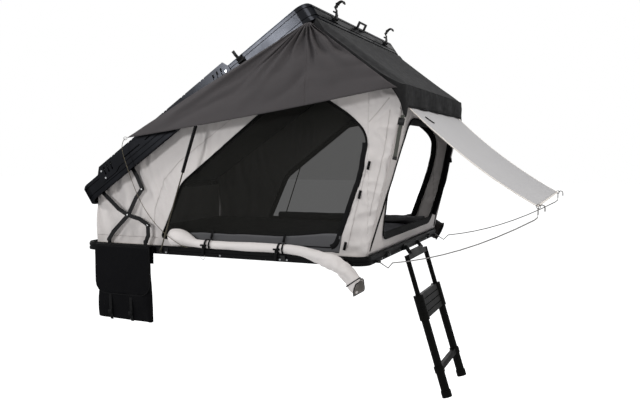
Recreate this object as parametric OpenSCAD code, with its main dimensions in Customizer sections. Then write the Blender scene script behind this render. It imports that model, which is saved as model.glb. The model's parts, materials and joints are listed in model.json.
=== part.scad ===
// Hard-shell roof top tent, pitched: a tilted lid on scissor hinges over a flat base, with canvas walls,
// side awnings, a propped front visor, a telescopic ladder and a hanging shoe bag.
// X points to the ladder end, Y to the right side, Z up. Millimetres. Origin: centre of the base underside.

/* [Shell] */
// Length of the closed shell
shell_l = 2100; // [2060:10:2140]
// Width of the closed shell
shell_w = 1850; // [1800:10:1900]
// Outer radius of the shell's corners, seen from above
corner_r = 90; // [80:5:120]

/* [Base] */
// Height of the base rails
base_h = 54; // [52:1:60]
// Width of a base rail's upright body
base_rail_w = 24; // [22:1:25]
// Width of the ledge that carries the floor
ledge_w = 36; // [30:1:44]
// Thickness of that ledge, and of the rack channels
ledge_t = 10; // [8:1:12]
// Thickness of the floor panel
floor_t = 30; // [24:1:32]
// Height of the rubber seal on the base rails
seal_t = 1.7; // [1:0.1:1.9]
// Width of the rubber seal
seal_w = 8; // [5:1:10]
// Distance from the middle rack channel to the outer ones
rack_x = 600; // [500:10:700]
// Distance of the bolt slots from the centre line
rack_y = 450; // [400:10:600]
// Width of a rack channel
rack_w = 60; // [56:1:80]
// Diameter of the bolts in the slots
slot_d = 9; // [7:0.5:11]
// End-to-end length of a bolt slot
slot_l = 40; // [30:1:44]

/* [Lid] */
// Height of the lid's edge, skin included
lid_h = 122; // [118:1:130]
// Thickness of the lid's sheet skin
skin_t = 3; // [2:0.5:5]
// Tilt of the raised lid
lid_angle = 34.15; // [33:0.05:35]
// Height of the lid's rear lower edge above the base underside
lid_raise = 311; // [300:1:320]
// How far the lid's rear edge sits ahead of the base's rear edge
lid_back = 31; // [25:1:38]
// Thickness of the padded head liner
liner_t = 10; // [6:1:14]
// Thickness of the slotted side plates
plate_t = 5; // [3:0.5:6]
// Rear end of a side plate, from the lid's rear edge
plate_start = 204; // [180:1:260]
// Front end of a side plate, from the lid's rear edge
plate_end = 1460; // [1400:5:1500]
// How far a side plate stands above the lid
plate_rise = 35; // [25:1:45]
// Height of a side plate's lower edge above the lid's rim
plate_low = 48; // [44:1:52]

/* [Scissor hinge] */
// Width of the hinge bars
bar_w = 28; // [24:1:28]
// Thickness of the hinge bars
bar_t = 6; // [4:0.5:6]
// Gap between neighbouring bars
bar_gap = 1; // [0.5:0.1:1]
// Diameter of the hinge pins
pin_d = 10; // [8:0.5:12]
// Radial clearance of a pin in its bore
pin_fit = 0.08; // [0.05:0.01:0.1]
// Height of the pivots on the base
pivot_z = 72; // [70:0.5:76]
// Height of the pivots on the lid above its rim
pivot_n = 48; // [44:1:52]

/* [Gas struts] */
// Diameter of the strut tube
strut_d = 22; // [18:1:22]
// Length of the strut tube
strut_tube_l = 563; // [560:1:576]
// Diameter of the strut rod
strut_rod_d = 9; // [8:0.5:10]
// Position of the upper strut pin along the lid
strut_s = 1253; // [1245:1:1260]
// Height of the upper strut pin above the lid's rim
strut_n = 81; // [76:1:88]
// Position of the lower strut end, from the base's rear edge
strut_x = 658; // [640:1:670]
// Height of the lower strut end
strut_z = 24; // [20:1:30]

/* [Cloth] */
// Thickness of the wall canvas
cloth_t = 3; // [2:0.5:4]
// Distance of the side walls from the shell's side
wall_inset = 80; // [76:1:90]
// Depth of the side walls' folds
fold_depth = 6; // [2:0.5:7]
// Distance from one fold to the next
fold_pitch = 96; // [80:1:120]
// Top of the front wall, ahead of the shell's front edge
wall_lean = 185; // [170:1:190]
// Eave of the front roof slope, ahead of the front wall's top
eave_over = 17; // [15:1:40]
// Height of that eave
eave_z = 1080; // [1060:5:1100]
// Depth of the valance below the eave
valance_h = 135; // [100:5:140]
// Drop of the visor's seam below the valance
seam_drop = 15; // [10:1:30]
// Reach of the visor, ahead of the shell's front edge
visor_out = 950; // [900:10:1000]
// Height of the visor's front edge
visor_z = 381; // [360:1:400]
// Sag of the visor sheet
visor_sag = 40; // [20:1:60]
// Space between the mattress and the shell's ends
mattress_end = 85; // [75:1:120]
// Space between the mattress and the shell's sides
mattress_side = 115; // [105:1:170]
// Thickness of the mattress at its edge
mattress_t = 52; // [40:1:55]
// Extra height at the mattress's crown
mattress_crown = 12; // [4:1:14]

/* [Ladder] */
// Lean of the ladder
ladder_lean = 17.1; // [12:0.1:22]
// Sideways place of the ladder's centre
ladder_y = 50; // [0:5:80]
// Distance between the ladder's rails
ladder_w = 503; // [470:1:520]
// Radius of the thinnest rail
rail_r = 17; // [15:0.5:18]
// Wall of the ladder tubes
tube_wall = 2.3; // [1.8:0.1:2.5]
// Radial clearance between two tubes
tube_gap = 0.3; // [0.2:0.05:0.4]
// Height of a rung and its collars
rung_h = 42; // [36:1:42]
// Distance from one stacked rung to the next
rung_pitch = 44; // [44:1:48]
// Depth of a rung
rung_d = 34; // [28:1:38]

/* [Shoe bag] */
// Width of the bag
bag_w = 432; // [400:1:470]
// Height of the bag
bag_h = 500; // [450:1:520]
// Depth of the bag
bag_d = 56; // [50:1:80]
// Space between the bag and the strut's lower end
bag_gap = 66; // [52:1:80]
// Length of the flap in front
flap_l = 335; // [300:1:360]

/* [Hidden] */
$fn = 48;

// Clearance of soft pieces and open joints
soft_gap = 0.3;
// How much wider a bar is at its ends and bends
bar_swell = 2;
half_l = shell_l / 2;
half_w = shell_w / 2;
rear_x = -half_l;
lid_x = rear_x + lid_back;
mattress_l = shell_l - 2 * mattress_end;
mattress_w = shell_w - 2 * mattress_side;
floor_top = ledge_t + floor_t;
sill_z = base_h + seal_t;

// Decorative groove along the rails
groove_h = 10;
groove_d = 5;
lid_web = 15;
lid_lip_w = 22;
lid_lip_t = 8;
lid_flange_w = 36;
lid_flange_t = 7;

// Hinge bars lie in four layers inside the shell's side, counted inwards
layer_pitch = bar_t + bar_gap;
layer_first = 33;
function layer_out(k) = half_w - layer_first - k * layer_pitch;
function layer_in(k) = layer_out(k) - bar_t;

// A point of the raised lid, s along it from its rear edge, n above its rim, as [x, z]
function lid_point(s, n) = [lid_x + s * cos(lid_angle) - n * sin(lid_angle),
    lid_raise + s * sin(lid_angle) + n * cos(lid_angle)];
p1 = [rear_x + 178, pivot_z];
p2 = [rear_x + 347, 249.6];
p3 = [rear_x + 463, 429.3];
link_s = 439.6;
arm_s = 130.5;
p4 = lid_point(link_s, pivot_n);
p5 = lid_point(arm_s, pivot_n);
p6 = [rear_x + 518.6, 184.2];
p7 = [rear_x + 500.8, pivot_z];
strut_top = lid_point(strut_s, strut_n);
strut_low = [rear_x + strut_x, strut_z];
strut_y = half_w + 20;
strut_angle = atan2(strut_top[1] - strut_low[1], strut_top[0] - strut_low[0]);

// A point beside the line from a to b, a share f along it and d to its left
function beside(a, b, f, d) = let (u = (b - a) / norm(b - a)) a + f * (b - a) + d * [-u[1], u[0]];
function mix(a, b, f) = a + f * (b - a);

// Front wall, roof slope and door outline, as [x, z]
wall_y = half_w - wall_inset;
wall_top = eave_z - valance_h - seam_drop;
front_low = [half_l - 20, sill_z + soft_gap];
front_high = [half_l + wall_lean, wall_top];
front_lean = atan2(front_high[0] - front_low[0], front_high[1] - front_low[1]);
front_peak = [front_high[0] + 2, eave_z - 24];
rear_wall_x = rear_x + 56;
lid_edge = lid_point(shell_l - 3, -4);
eave = [half_l + wall_lean + eave_over, eave_z];
fly_slope = (lid_edge[1] - eave[1]) / (eave[0] - lid_edge[0]);
fly_half = half_w + 18;
// Depth of the fly's side hems and radius of its front corners
fly_hem = 50;
fly_r = 130;
door_rear = rear_x + 565;
door_rear_edge = [[590, 95], [632, 180], [764, 475]];
door_front_edge = [[-780, 897], [-550, 1068], [-490, 1105], [-430, 1095], [-233, 968], [-135, 905],
    [-60, 835], [-28, 770], [-30, 700], [-60, 540], [-135, 328], [-220, 95]];
door_outline = concat([for (q = door_rear_edge) q + [rear_x, 0]],
    [for (q = door_front_edge) q + [half_l, 0]]);
door_mid = [half_l - 770, 560];
// Front window: half widths at its top, widest place and foot, heights and corner radius
window_top = half_w - 310;
window_half = half_w - 205;
window_foot = half_w - 285;
window_low = 150;
window_bend = 450;
window_high = wall_top - 60;
window_r = 80;

// Awning corners: rear tip, ridge and eave, as [x, z]
awning_tip = lid_point(585, 165);
awning_ridge = lid_point(shell_l - 40, -15);
awning_eave = [eave[0] - 6, eave[1] - fly_hem];
awning_cols = 28;
awning_rows = 5;

// Ladder hinge and the place of each section's collar and lower end along the ladder
hinge_x = half_l + 40;
hinge_z = -11;
hinge_d = 12;
barrel_r = 11;
ladder_half = ladder_w / 2;
ear_half = 160;
ear_t = 8;
collar_wall = 9;
stack_start = 294;
top_rail_l = 560;
foot_collar = 792;
foot_end = 1000;
foot_cap = 12;
section_l = 320;
function tube_r(i) = rail_r + i * (tube_wall + tube_gap);
function bore_r(i) = i == 0 ? rail_r - tube_wall : tube_r(i - 1) + tube_gap;
function collar_at(i) = i == 5 ? foot_collar : stack_start + (i - 1) * rung_pitch;
function tube_end(i) = i == 0 ? top_rail_l : i == 4 ? foot_collar + 28
    : i == 5 ? foot_end : collar_at(i) + section_l;

// Visor rods, guy cord and rolls: hand-chosen route points, left side
rod_d = 7;
rod_in = 163;
rod_y = half_w - rod_in;
rod_eye = [half_l + 24, 12];
rod_bow_steps = 8;
// Places ahead of the shell's front edge, in from its side and above the base; the tip's from the visor
rod_kink = [[24, 158, 12], [40, 158, 4], [84, 157, -22], [117, 139, 14]];
rod_tip = [[2, 136, -63], [4, 137, -45], [4, 139, -9], [10, 141, 3], [24, 143, 8], [36, 144, 3],
    [40, 145, -9], [40, 145, -29]];
function rod_bow(f) = [mix(117, visor_out - 15, f), 137, 14 + (visor_z - 92) * (0.384 * f + 0.616 * f * f)];
rod_places = concat(rod_kink, [for (i = [1 : rod_bow_steps]) rod_bow(i / rod_bow_steps)],
    [for (q = rod_tip) q + [visor_out, 0, visor_z]]);
rod_route = [for (q = rod_places) q + [half_l, -half_w, 0]];
cord_d = 4;
cord_route = [[-642, -971, 774], [-652, -970, 766], [-664, -969, 750], [-671, -968, 730],
    [-674, -967, 712], [-672, -966, 690], [-664, -966, 660], [-650, -966, 620], [-633, -966, 575],
    [-613, -966, 525], [-590, -966, 470],
    [-563, -966, 412], [-532, -966, 355], [-495, -966, 300], [-455, -966, 250], [-410, -966, 203],
    [-360, -966, 160], [-310, -965, 124], [-262, -962, 94], [-225, -954, 72], [-200, -944, 60],
    [-186, -936, 57]];
// Rolled doors: places ahead of the shell's rear or front edge, in from its side and above the sill
roll_r = 32;
roll_left_rear = [[705, 35, 44.5], [750, 35, 36.5], [900, 35, 33]];
roll_left_front = [[-450, 35, 33], [-310, 33, 33.5], [-240, 17, 36.5], [-190, -10, 28.5], [-145, -37, 0.5],
    [-105, -47, -47.5], [-70, -50, -101.5], [-42, -51, -155.5], [-20, -51, -197.5]];
roll_right_rear = [[705, 31, 41.5], [750, 31, 39.5], [900, 31, 38]];
roll_right_front = [[-450, 29, 38.5], [-290, 11, 48.5], [-190, -25, 52.5], [-110, -65, 20.5],
    [-50, -75, -11.5], [2, -77, -33.5]];
function roll_route(rear, front) = concat([for (q = rear) q + [rear_x, -half_w, sill_z]],
    [for (q = front) q + [half_l, -half_w, sill_z]]);
roll_left = roll_route(roll_left_rear, roll_left_front);
roll_right = roll_route(roll_right_rear, roll_right_front);
function roll_left_r(f) = roll_r + 40 * max(0, f - 0.62);
function roll_right_r(f) = roll_r + 4 + 70 * max(0, f - 0.6);

// Flat outlines

module rounded_rect(l, w, r) {
    square([l - 2 * r, w], center = true);
    square([l, w - 2 * r], center = true);
    for (x = [-1, 1], y = [-1, 1])
        translate([x * (l / 2 - r), y * (w / 2 - r)]) circle(r);
}

module slot_shape(l, d) {
    square([l - d, d], center = true);
    for (x = [-1, 1]) translate([x * (l - d) / 2, 0]) circle(d = d);
}

module bar_between(a, b, w) {
    translate(a) rotate(atan2(b[1] - a[1], b[0] - a[0])) translate([0, -w / 2]) square([norm(b - a), w]);
}

// A bent bar through a list of points, a little wider at its ends and bends
module bar_shape(points, w) {
    for (i = [0 : len(points) - 2]) bar_between(points[i], points[i + 1], w);
    for (q = points) translate(q) circle(d = w + bar_swell);
}

// Placing

module both_sides() {
    children();
    mirror([0, 1, 0]) children();
}

// An upright slab on the left side, from a to b out from the centre plane, of an [x, z] outline
module side_slab(a, b) {
    translate([0, -a, 0]) rotate([90, 0, 0]) linear_extrude(b - a) children();
}

// The raised lid's own frame, with x from its middle and z from its rim
module in_lid() {
    translate([lid_x, 0, lid_raise]) rotate([0, -lid_angle, 0]) translate([half_l, 0, 0]) children();
}

// The ladder's own frame: hinge at the origin, rails running down
module in_ladder() {
    translate([hinge_x, ladder_y, hinge_z]) rotate([0, -ladder_lean, 0]) children();
}

// The front wall's own frame: x across, y up along the wall, z outwards
module in_front_wall() {
    translate([front_low[0], 0, front_low[1]]) rotate([0, front_lean, 0]) rotate([90, 0, 90]) children();
}

// Extruded rail frame

function groove(z) = [[0, z + groove_h / 2], [groove_d, z + groove_h / 2], [groove_d, z - groove_h / 2],
    [0, z - groove_h / 2]];
base_profile = concat([[3, 0], [base_rail_w + ledge_w, 0], [base_rail_w + ledge_w, ledge_t],
    [base_rail_w, ledge_t], [base_rail_w, base_h], [4, base_h], [4, base_h - 6], [0, base_h - 9]],
    groove(base_h / 2 - 2), [[0, 3]]);
lid_rail_h = lid_h - skin_t;
lid_profile = concat([[3, 0], [lid_lip_w, 0], [lid_lip_w, lid_lip_t], [lid_web, lid_lip_t],
    [lid_web, lid_rail_h - lid_flange_t], [lid_flange_w, lid_rail_h - lid_flange_t],
    [lid_flange_w, lid_rail_h], [7, lid_rail_h], [0, lid_rail_h - 7]],
    groove(lid_rail_h - 30), groove(28), [[0, 3]]);

module rail_along_x(profile) {
    translate([rear_x + corner_r, -half_w, 0]) rotate([90, 0, 90])
        linear_extrude(shell_l - 2 * corner_r) polygon(profile);
}

module rail_along_y(profile) {
    translate([half_l, -half_w + corner_r, 0]) rotate([90, 0, 180])
        linear_extrude(shell_w - 2 * corner_r) polygon(profile);
}

module rail_corner(profile) {
    translate([half_l - corner_r, -half_w + corner_r, 0]) rotate([0, 0, -90]) rotate_extrude(angle = 90)
        polygon([for (q = profile) [corner_r - q[0], q[1]]]);
}

module four_corners(profile) {
    both_sides() {
        rail_corner(profile);
        mirror([1, 0, 0]) rail_corner(profile);
    }
}

// A closed tube swept along a route; radius is a function of the share along it
module swept_tube(route, radii, sides, squash) {
    n = len(route);
    ahead = [for (i = [0 : n - 1]) route[min(i + 1, n - 1)] - route[max(i - 1, 0)]];
    rings = [for (i = [0 : n - 1])
        let (t = ahead[i] / norm(ahead[i]), ref = abs(t[2]) > 0.9 ? [1, 0, 0] : [0, 0, 1],
            u = cross(ref, t) / norm(cross(ref, t)), v = cross(t, u))
        [for (k = [0 : sides - 1]) let (a = 360 * k / sides)
            route[i] + radii[i] * (cos(a) * u + squash * sin(a) * v)]];
    points = concat([for (ring = rings) each ring], [route[0], route[n - 1]]);
    faces = concat(
        [for (i = [0 : n - 2], k = [0 : sides - 1]) let (j = (k + 1) % sides)
            each [[i * sides + k, (i + 1) * sides + j, i * sides + j],
                [i * sides + k, (i + 1) * sides + k, (i + 1) * sides + j]]],
        [for (k = [0 : sides - 1]) [k, (k + 1) % sides, n * sides]],
        [for (k = [0 : sides - 1]) [(n - 1) * sides + (k + 1) % sides, (n - 1) * sides + k, n * sides + 1]]);
    polyhedron(points, faces);
}

// A thin sheet from a grid of points, thick along a given direction
module sheet(grid, thick) {
    rows = len(grid);
    cols = len(grid[0]);
    count = rows * cols;
    points = concat([for (r = grid) each r], [for (r = grid) each [for (q = r) q + thick]]);
    top = [for (i = [0 : rows - 2], j = [0 : cols - 2]) let (a = i * cols + j)
        each [[a, a + cols, a + 1], [a + 1, a + cols, a + cols + 1]]];
    rim = concat([for (j = [0 : cols - 1]) j], [for (i = [1 : rows - 1]) i * cols + cols - 1],
        [for (j = [cols - 2 : -1 : 0]) (rows - 1) * cols + j], [for (i = [rows - 2 : -1 : 1]) i * cols]);
    edge = [for (k = [0 : len(rim) - 1]) let (a = rim[k], b = rim[(k + 1) % len(rim)])
        each [[a, b, b + count], [a, b + count, a + count]]];
    polyhedron(points, concat(top, [for (f = top) [f[0] + count, f[2] + count, f[1] + count]], edge));
}

// Base

module base_rail_left() {
    color("#1b1b1d") rail_along_x(base_profile);
}

module base_rail_right() {
    color("#1b1b1d") mirror([0, 1, 0]) rail_along_x(base_profile);
}

module base_rail_front() {
    color("#1b1b1d") rail_along_y(base_profile);
}

module base_rail_rear() {
    color("#1b1b1d") mirror([1, 0, 0]) rail_along_y(base_profile);
}

module base_corners() {
    color("#1b1b1d") four_corners(base_profile);
}

module rack_slots(h) {
    for (x = [-1, 1], y = [-1, 1])
        translate([x * rack_x, y * rack_y, -1]) linear_extrude(h + 1) slot_shape(slot_l, slot_d);
}

module floor_panel() {
    fit = base_rail_w + soft_gap;
    pocket = 15;
    color("#77797c") difference() {
        translate([0, 0, ledge_t]) linear_extrude(floor_t)
            rounded_rect(shell_l - 2 * fit, shell_w - 2 * fit, corner_r - fit);
        rack_slots(ledge_t + pocket);
    }
}

module rack_channels() {
    l = shell_w - 2 * (base_rail_w + ledge_w + soft_gap);
    color("#3a3b3d") difference() {
        for (x = [-1, 0, 1]) translate([x * rack_x - rack_w / 2, -l / 2, 0]) cube([rack_w, l, ledge_t]);
        rack_slots(ledge_t + 1);
    }
}

module edge_seal() {
    inset = 8;
    inner = inset + seal_w;
    color("#101010") translate([0, 0, base_h]) linear_extrude(seal_t) difference() {
        rounded_rect(shell_l - 2 * inset, shell_w - 2 * inset, corner_r - inset);
        rounded_rect(shell_l - 2 * inner, shell_w - 2 * inner, corner_r - inner);
    }
}

// Foot plate, upright ear and pin of the two scissor pivots, and the outer plate of the gas strut
module base_brackets() {
    ear = 24;
    foot = floor_top + (ear + bar_swell) / 2;
    outer_ear = half_w - base_rail_w - soft_gap;
    plate = 4;
    stud = 9;
    color("#18181a") both_sides() {
        side_slab(layer_in(3), layer_out(3)) {
            bar_shape([p1, [p1[0], foot]], ear);
            translate([p1[0] - ear, floor_top]) square([2 * ear, plate]);
        }
        side_slab(layer_out(3), layer_out(2)) translate(p1) circle(d = pin_d);
        side_slab(layer_out(0) + bar_gap, outer_ear) {
            bar_shape([p7, [p7[0], foot]], ear);
            translate([p7[0] - ear, floor_top]) square([2 * ear, plate]);
        }
        side_slab(layer_in(0), layer_out(0) + bar_gap) translate(p7) circle(d = pin_d);
        side_slab(half_w, half_w + plate) translate([strut_low[0] - 48, 4]) square([96, 40]);
        side_slab(half_w + plate, strut_y - eye_t / 2 - soft_gap) translate(strut_low) circle(stud);
        side_slab(half_w + plate, strut_y + eye_t / 2 + 3) translate(strut_low) circle(d = strut_pin_d);
        side_slab(strut_y + eye_t / 2 + soft_gap, strut_y + eye_t / 2 + 3)
            translate(strut_low) circle(stud - 2);
    }
}

// Round heads of the rail screws
module rail_bolts() {
    head_r = 6;
    head_t = 3;
    side_x = [strut_low[0] - 42, strut_low[0] + 34, side_latch_x - 453, side_latch_x - 24,
        side_latch_x + 24];
    front_y = [303 - half_w, 477 - half_w, ladder_y - 261, ladder_y + 210, half_w - 402];
    level = base_h / 2 - 2 - groove_h / 2 - 6;
    color("#c9cbcf") {
        both_sides() for (i = [0 : len(side_x) - 1]) let (out = i < 2 ? half_w + 4 : half_w)
            side_slab(out, out + head_t) translate([side_x[i], level]) circle(head_r);
        for (y = front_y) translate([half_l, y, level]) rotate([0, 90, 0]) cylinder(r = head_r, h = head_t);
    }
}

module ladder_bracket() {
    plate = 8;
    color("#1d1d1f") translate([0, ladder_y, 0]) {
        translate([half_l, -ear_half - 30, 2]) cube([plate, 2 * ear_half + 60, base_h - 12]);
        for (y = [-1, 1]) translate([0, y * ear_half + ear_t / 2, 0]) rotate([90, 0, 0])
            linear_extrude(ear_t) bar_shape([[half_l + plate + 7, 20], [hinge_x, hinge_z]], 26);
        translate([hinge_x, ear_half, hinge_z]) rotate([90, 0, 0]) cylinder(d = hinge_d, h = 2 * ear_half);
    }
}

latch_mid = 40;
latch_half = half_w - 375;
latch_w = 46;
side_catch_w = 30;

// Hooked keepers of the lid latches
module latch_catches() {
    color("#232325") {
        for (y = [-1, 1]) translate([half_l, latch_mid + y * latch_half + latch_w / 2, 0])
            rotate([90, 0, 0]) linear_extrude(latch_w)
                polygon([[0, 8], [10, 8], [10, 34], [18, 34], [18, 42], [6, 42], [6, 14], [0, 14]]);
        both_sides() translate([side_latch_x, -half_w, 0]) rotate([90, 0, 90])
            translate([0, 0, -side_catch_w / 2]) linear_extrude(side_catch_w)
                polygon([[0, 8], [-10, 8], [-10, 34], [-18, 34], [-18, 42], [-6, 42], [-6, 14], [0, 14]]);
    }
}

// Eyes on the front rail that the visor rods swing in
module rod_sockets() {
    eye_r = 9;
    eye_w = 14;
    color("#1d1d1f") both_sides() translate([0, -rod_y + eye_w, 0]) rotate([90, 0, 0]) difference() {
        linear_extrude(eye_w) {
            translate([half_l, rod_eye[1] - 8]) square([rod_eye[0] - half_l, 16]);
            translate(rod_eye) circle(eye_r);
        }
        translate([rod_eye[0], rod_eye[1], -1]) cylinder(d = rod_d + 2 * pin_fit, h = eye_w + 2);
    }
}

// Bed

// Crowned pad with drawn-in sides and shallow cross channels
module mattress() {
    nx = 26;
    ny = 16;
    foot = floor_top + soft_gap;
    channel = 5;
    function draw(u, v) = 1 - 0.012 * pow(sin(90 * (u + 1)), 2) * abs(v);
    function top(u, v) = foot + mattress_t + mattress_crown * (1 - pow(u, 6)) * (1 - pow(v, 6))
        - channel * max(0, 1 - 6 * abs(cos(540 * u)));
    grid = [for (i = [0 : nx]) let (u = 2 * i / nx - 1) [for (j = [0 : ny]) let (v = 2 * j / ny - 1)
        [u * mattress_l / 2 * draw(v, u), v * mattress_w / 2 * draw(u, v), top(u, v)]]];
    rows = nx + 1;
    cols = ny + 1;
    count = rows * cols;
    low = [for (r = grid) each [for (q = r) [q[0], q[1], foot]]];
    faces = [for (i = [0 : rows - 2], j = [0 : cols - 2]) let (a = i * cols + j)
        each [[a, a + 1, a + cols], [a + 1, a + cols + 1, a + cols]]];
    rim = concat([for (j = [0 : cols - 1]) j], [for (i = [1 : rows - 1]) i * cols + cols - 1],
        [for (j = [cols - 2 : -1 : 0]) (rows - 1) * cols + j], [for (i = [rows - 2 : -1 : 1]) i * cols]);
    edge = [for (k = [0 : len(rim) - 1]) let (a = rim[k], b = rim[(k + 1) % len(rim)])
        each [[b, a, b + count], [a, a + count, b + count]]];
    color("#3c3c40") polyhedron(concat([for (r = grid) each r], low),
        concat(faces, [for (f = faces) [f[0] + count, f[2] + count, f[1] + count]], edge));
}

// Canvas

// Plan of a side wall: a strip with standing folds, deepest beside the hinge
function fold(x) = -wall_y + fold_depth * sin(360 * (x - rear_x) / fold_pitch)
    * (0.25 + 0.75 * max(0, min(1, (door_rear - x) / 200)));
wall_xs = [rear_wall_x + cloth_t + 1 : fold_pitch / 8 : half_l + wall_lean + 60];

module wall_plan() {
    polygon(concat([for (x = wall_xs) [x, fold(x) - cloth_t / 2]],
        [for (i = [len([for (x = wall_xs) x]) - 1 : -1 : 0])
            let (x = rear_wall_x + cloth_t + 1 + i * fold_pitch / 8) [x, fold(x) + cloth_t / 2]]));
}

// Outline of a side wall: floor, leaning front, roof slope and the underside of the lid
module wall_outline() {
    clear = cloth_t + 2;
    under = lid_rail_h - lid_flange_t - liner_t - soft_gap;
    polygon([[rear_wall_x, floor_top + soft_gap], [front_low[0] - clear - 5, floor_top + soft_gap],
        [front_low[0] - clear, front_low[1]], [front_high[0] - clear, front_high[1]],
        [front_peak[0] - clear, front_peak[1]], lid_point(shell_l - 50, -16), lid_point(shell_l - 50, under),
        lid_point(50, under), [rear_wall_x, lid_point(50, under)[1] - 30]]);
}

module side_wall() {
    color("#bcb7b1") intersection() {
        linear_extrude(2000) wall_plan();
        side_slab(wall_y - 40, wall_y + 40) difference() {
            wall_outline();
            polygon(door_outline);
        }
    }
}

module wall_left() {
    side_wall();
}

module wall_right() {
    mirror([0, 1, 0]) side_wall();
}

module wall_rear() {
    half = wall_y - fold_depth - cloth_t;
    top = lid_point(50, 60)[1];
    n = 40;
    ys = [for (i = [0 : n]) -half + 2 * half * i / n];
    function wave(y) = rear_wall_x + 1.5 * (1 + sin(360 * y / 260));
    color("#bcb7b1") translate([0, 0, floor_top + soft_gap]) linear_extrude(top - floor_top)
        polygon(concat([for (y = ys) [wave(y), y]], [for (i = [n : -1 : 0]) [wave(ys[i]) - cloth_t, ys[i]]]));
}

// Leaning front wall with its window; above the visor seam it goes straight up to the eave
module wall_front() {
    half = wall_y + fold_depth;
    in = [cloth_t, 0];
    bottom = window_low - front_low[1];
    right = concat([for (a = [-90 : 14 : -20]) [window_foot, bottom] + window_r * [cos(a) - 1, sin(a) + 1]],
        [[window_half, window_bend - front_low[1]], [window_top, window_high - front_low[1]]]);
    color("#bcb7b1") difference() {
        translate([0, half, 0]) rotate([90, 0, 0]) linear_extrude(2 * half)
            polygon([front_low, front_high, front_peak, front_peak - in, front_high - in, front_low - in]);
        in_front_wall() translate([0, 0, -40]) linear_extrude(80)
            polygon(concat(right, [for (i = [len(right) - 1 : -1 : 0]) [-right[i][0], right[i][1]]]));
    }
}

// Plan of the fly, drawn in by a step, with round front corners
module fly_plan(in) {
    mid = eave[0] - fly_r;
    side = fly_half - fly_r;
    translate([lid_edge[0], in - fly_half]) square([mid - lid_edge[0], 2 * (fly_half - in)]);
    translate([lid_edge[0], -side]) square([eave[0] - in - lid_edge[0], 2 * side]);
    for (y = [-1, 1]) translate([mid, y * side]) circle(fly_r - in);
}

module across_fly() {
    translate([0, fly_half + 1, 0]) rotate([90, 0, 0]) linear_extrude(2 * fly_half + 2) children();
}

// Front roof slope with hems down its sides, the valance and a hanging flap at each front corner
module roof_fly() {
    drop = eave - [0, valance_h];
    t = cloth_t;
    low = [0, -t / 2];
    scallop = 30;
    n = 24;
    side = fly_half - fly_r;
    hem_end = eave + [-102, 102 * fly_slope - fly_hem];
    tip = drop + [-7, -60];
    color("#2f3032") {
        intersection() {
            linear_extrude(2000) fly_plan(t / 2);
            across_fly() polygon([lid_edge, eave, eave + 2 * low, lid_edge + 2 * low]);
        }
        difference() {
            intersection() {
                linear_extrude(2000) difference() {
                    fly_plan(0);
                    fly_plan(t);
                }
                across_fly() polygon([lid_edge + low, eave + [2, 0] + low, drop + [2, 0], drop, tip,
                    tip - [14, 0], drop + [-26, 5], drop + [-40, 50], drop + [-60, 90], hem_end,
                    lid_edge - [0, fly_hem]]);
            }
            translate([eave[0] - 20, 0, 0]) rotate([90, 0, 90]) linear_extrude(40)
                polygon(concat([for (i = [0 : n]) let (u = 2 * i / n - 1)
                    [u * side, drop[1] + scallop * (1 - pow(u, 4))]], [[side, drop[1] - 20],
                    [-side, drop[1] - 20]]));
        }
    }
}

// Side awning: a triangle with folds that fan out from the ridge
module awning() {
    function rim(f) = mix(awning_tip, awning_eave, f);
    function ripple(f, g) = 9 * sin(810 * f) * sin(180 * min(1, g * 1.1)) * (1 - 0.5 * f);
    function out(f, g) = fly_half + cloth_t + 1 + 24 * (1 - f) * g;
    grid = [for (i = [0 : awning_rows]) let (g = i / awning_rows) [for (j = [0 : awning_cols])
        let (f = j / awning_cols, q = mix(awning_ridge, rim(f), 0.03 + 0.97 * g))
        [q[0], -out(f, g) - cloth_t - abs(ripple(f, g)), q[1]]]];
    sheet(grid, [0, cloth_t, 0]);
}

module awning_left() {
    color("#434345") awning();
}

module awning_right() {
    color("#434345") mirror([0, 1, 0]) awning();
}

// Fly-screen that closes the left door just inside the wall
module door_mesh_left() {
    far = wall_y - fold_depth / 4 - cloth_t / 2 - soft_gap;
    color("#1c1c1e") side_slab(far - 1.5, far) intersection() {
        wall_outline();
        scale_about(door_mid, 1.03) polygon(door_outline);
    }
}

module scale_about(q, k) {
    translate(q) scale([k, k]) translate(-q) children();
}

module door_roll_left() {
    n = len(roll_left) - 1;
    color("#c4bfb9") swept_tube(roll_left, [for (i = [0 : n]) roll_left_r(i / n)], 12, 0.96);
}

module door_roll_right() {
    n = len(roll_right) - 1;
    color("#6b6763") mirror([0, 1, 0])
        swept_tube(roll_right, [for (i = [0 : n]) roll_right_r(i / n)], 12, 0.96);
}

// Sprung bow inside the front corners that holds the eave out
module front_bow() {
    bow_r = 6;
    bar_r = 5;
    in = 26;
    y = wall_y - fold_depth - cloth_t - bow_r - 6;
    foot = [front_low[0] - in, floor_top + soft_gap + 2];
    head = [front_high[0] - in, front_high[1] + 60];
    lean = atan2(head[0] - foot[0], head[1] - foot[1]);
    color("#2a2a2c") {
        both_sides() translate([foot[0], -y, foot[1]]) rotate([0, lean, 0])
            cylinder(r = bow_r, h = norm(head - foot) + 12);
        translate([head[0], y, head[1]]) rotate([90, 0, 0]) cylinder(r = bar_r, h = 2 * y);
    }
}

module guy_cord() {
    color("#3b382f") swept_tube(cord_route, [for (q = cord_route) cord_d / 2], 8, 1);
}

// Visor

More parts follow.
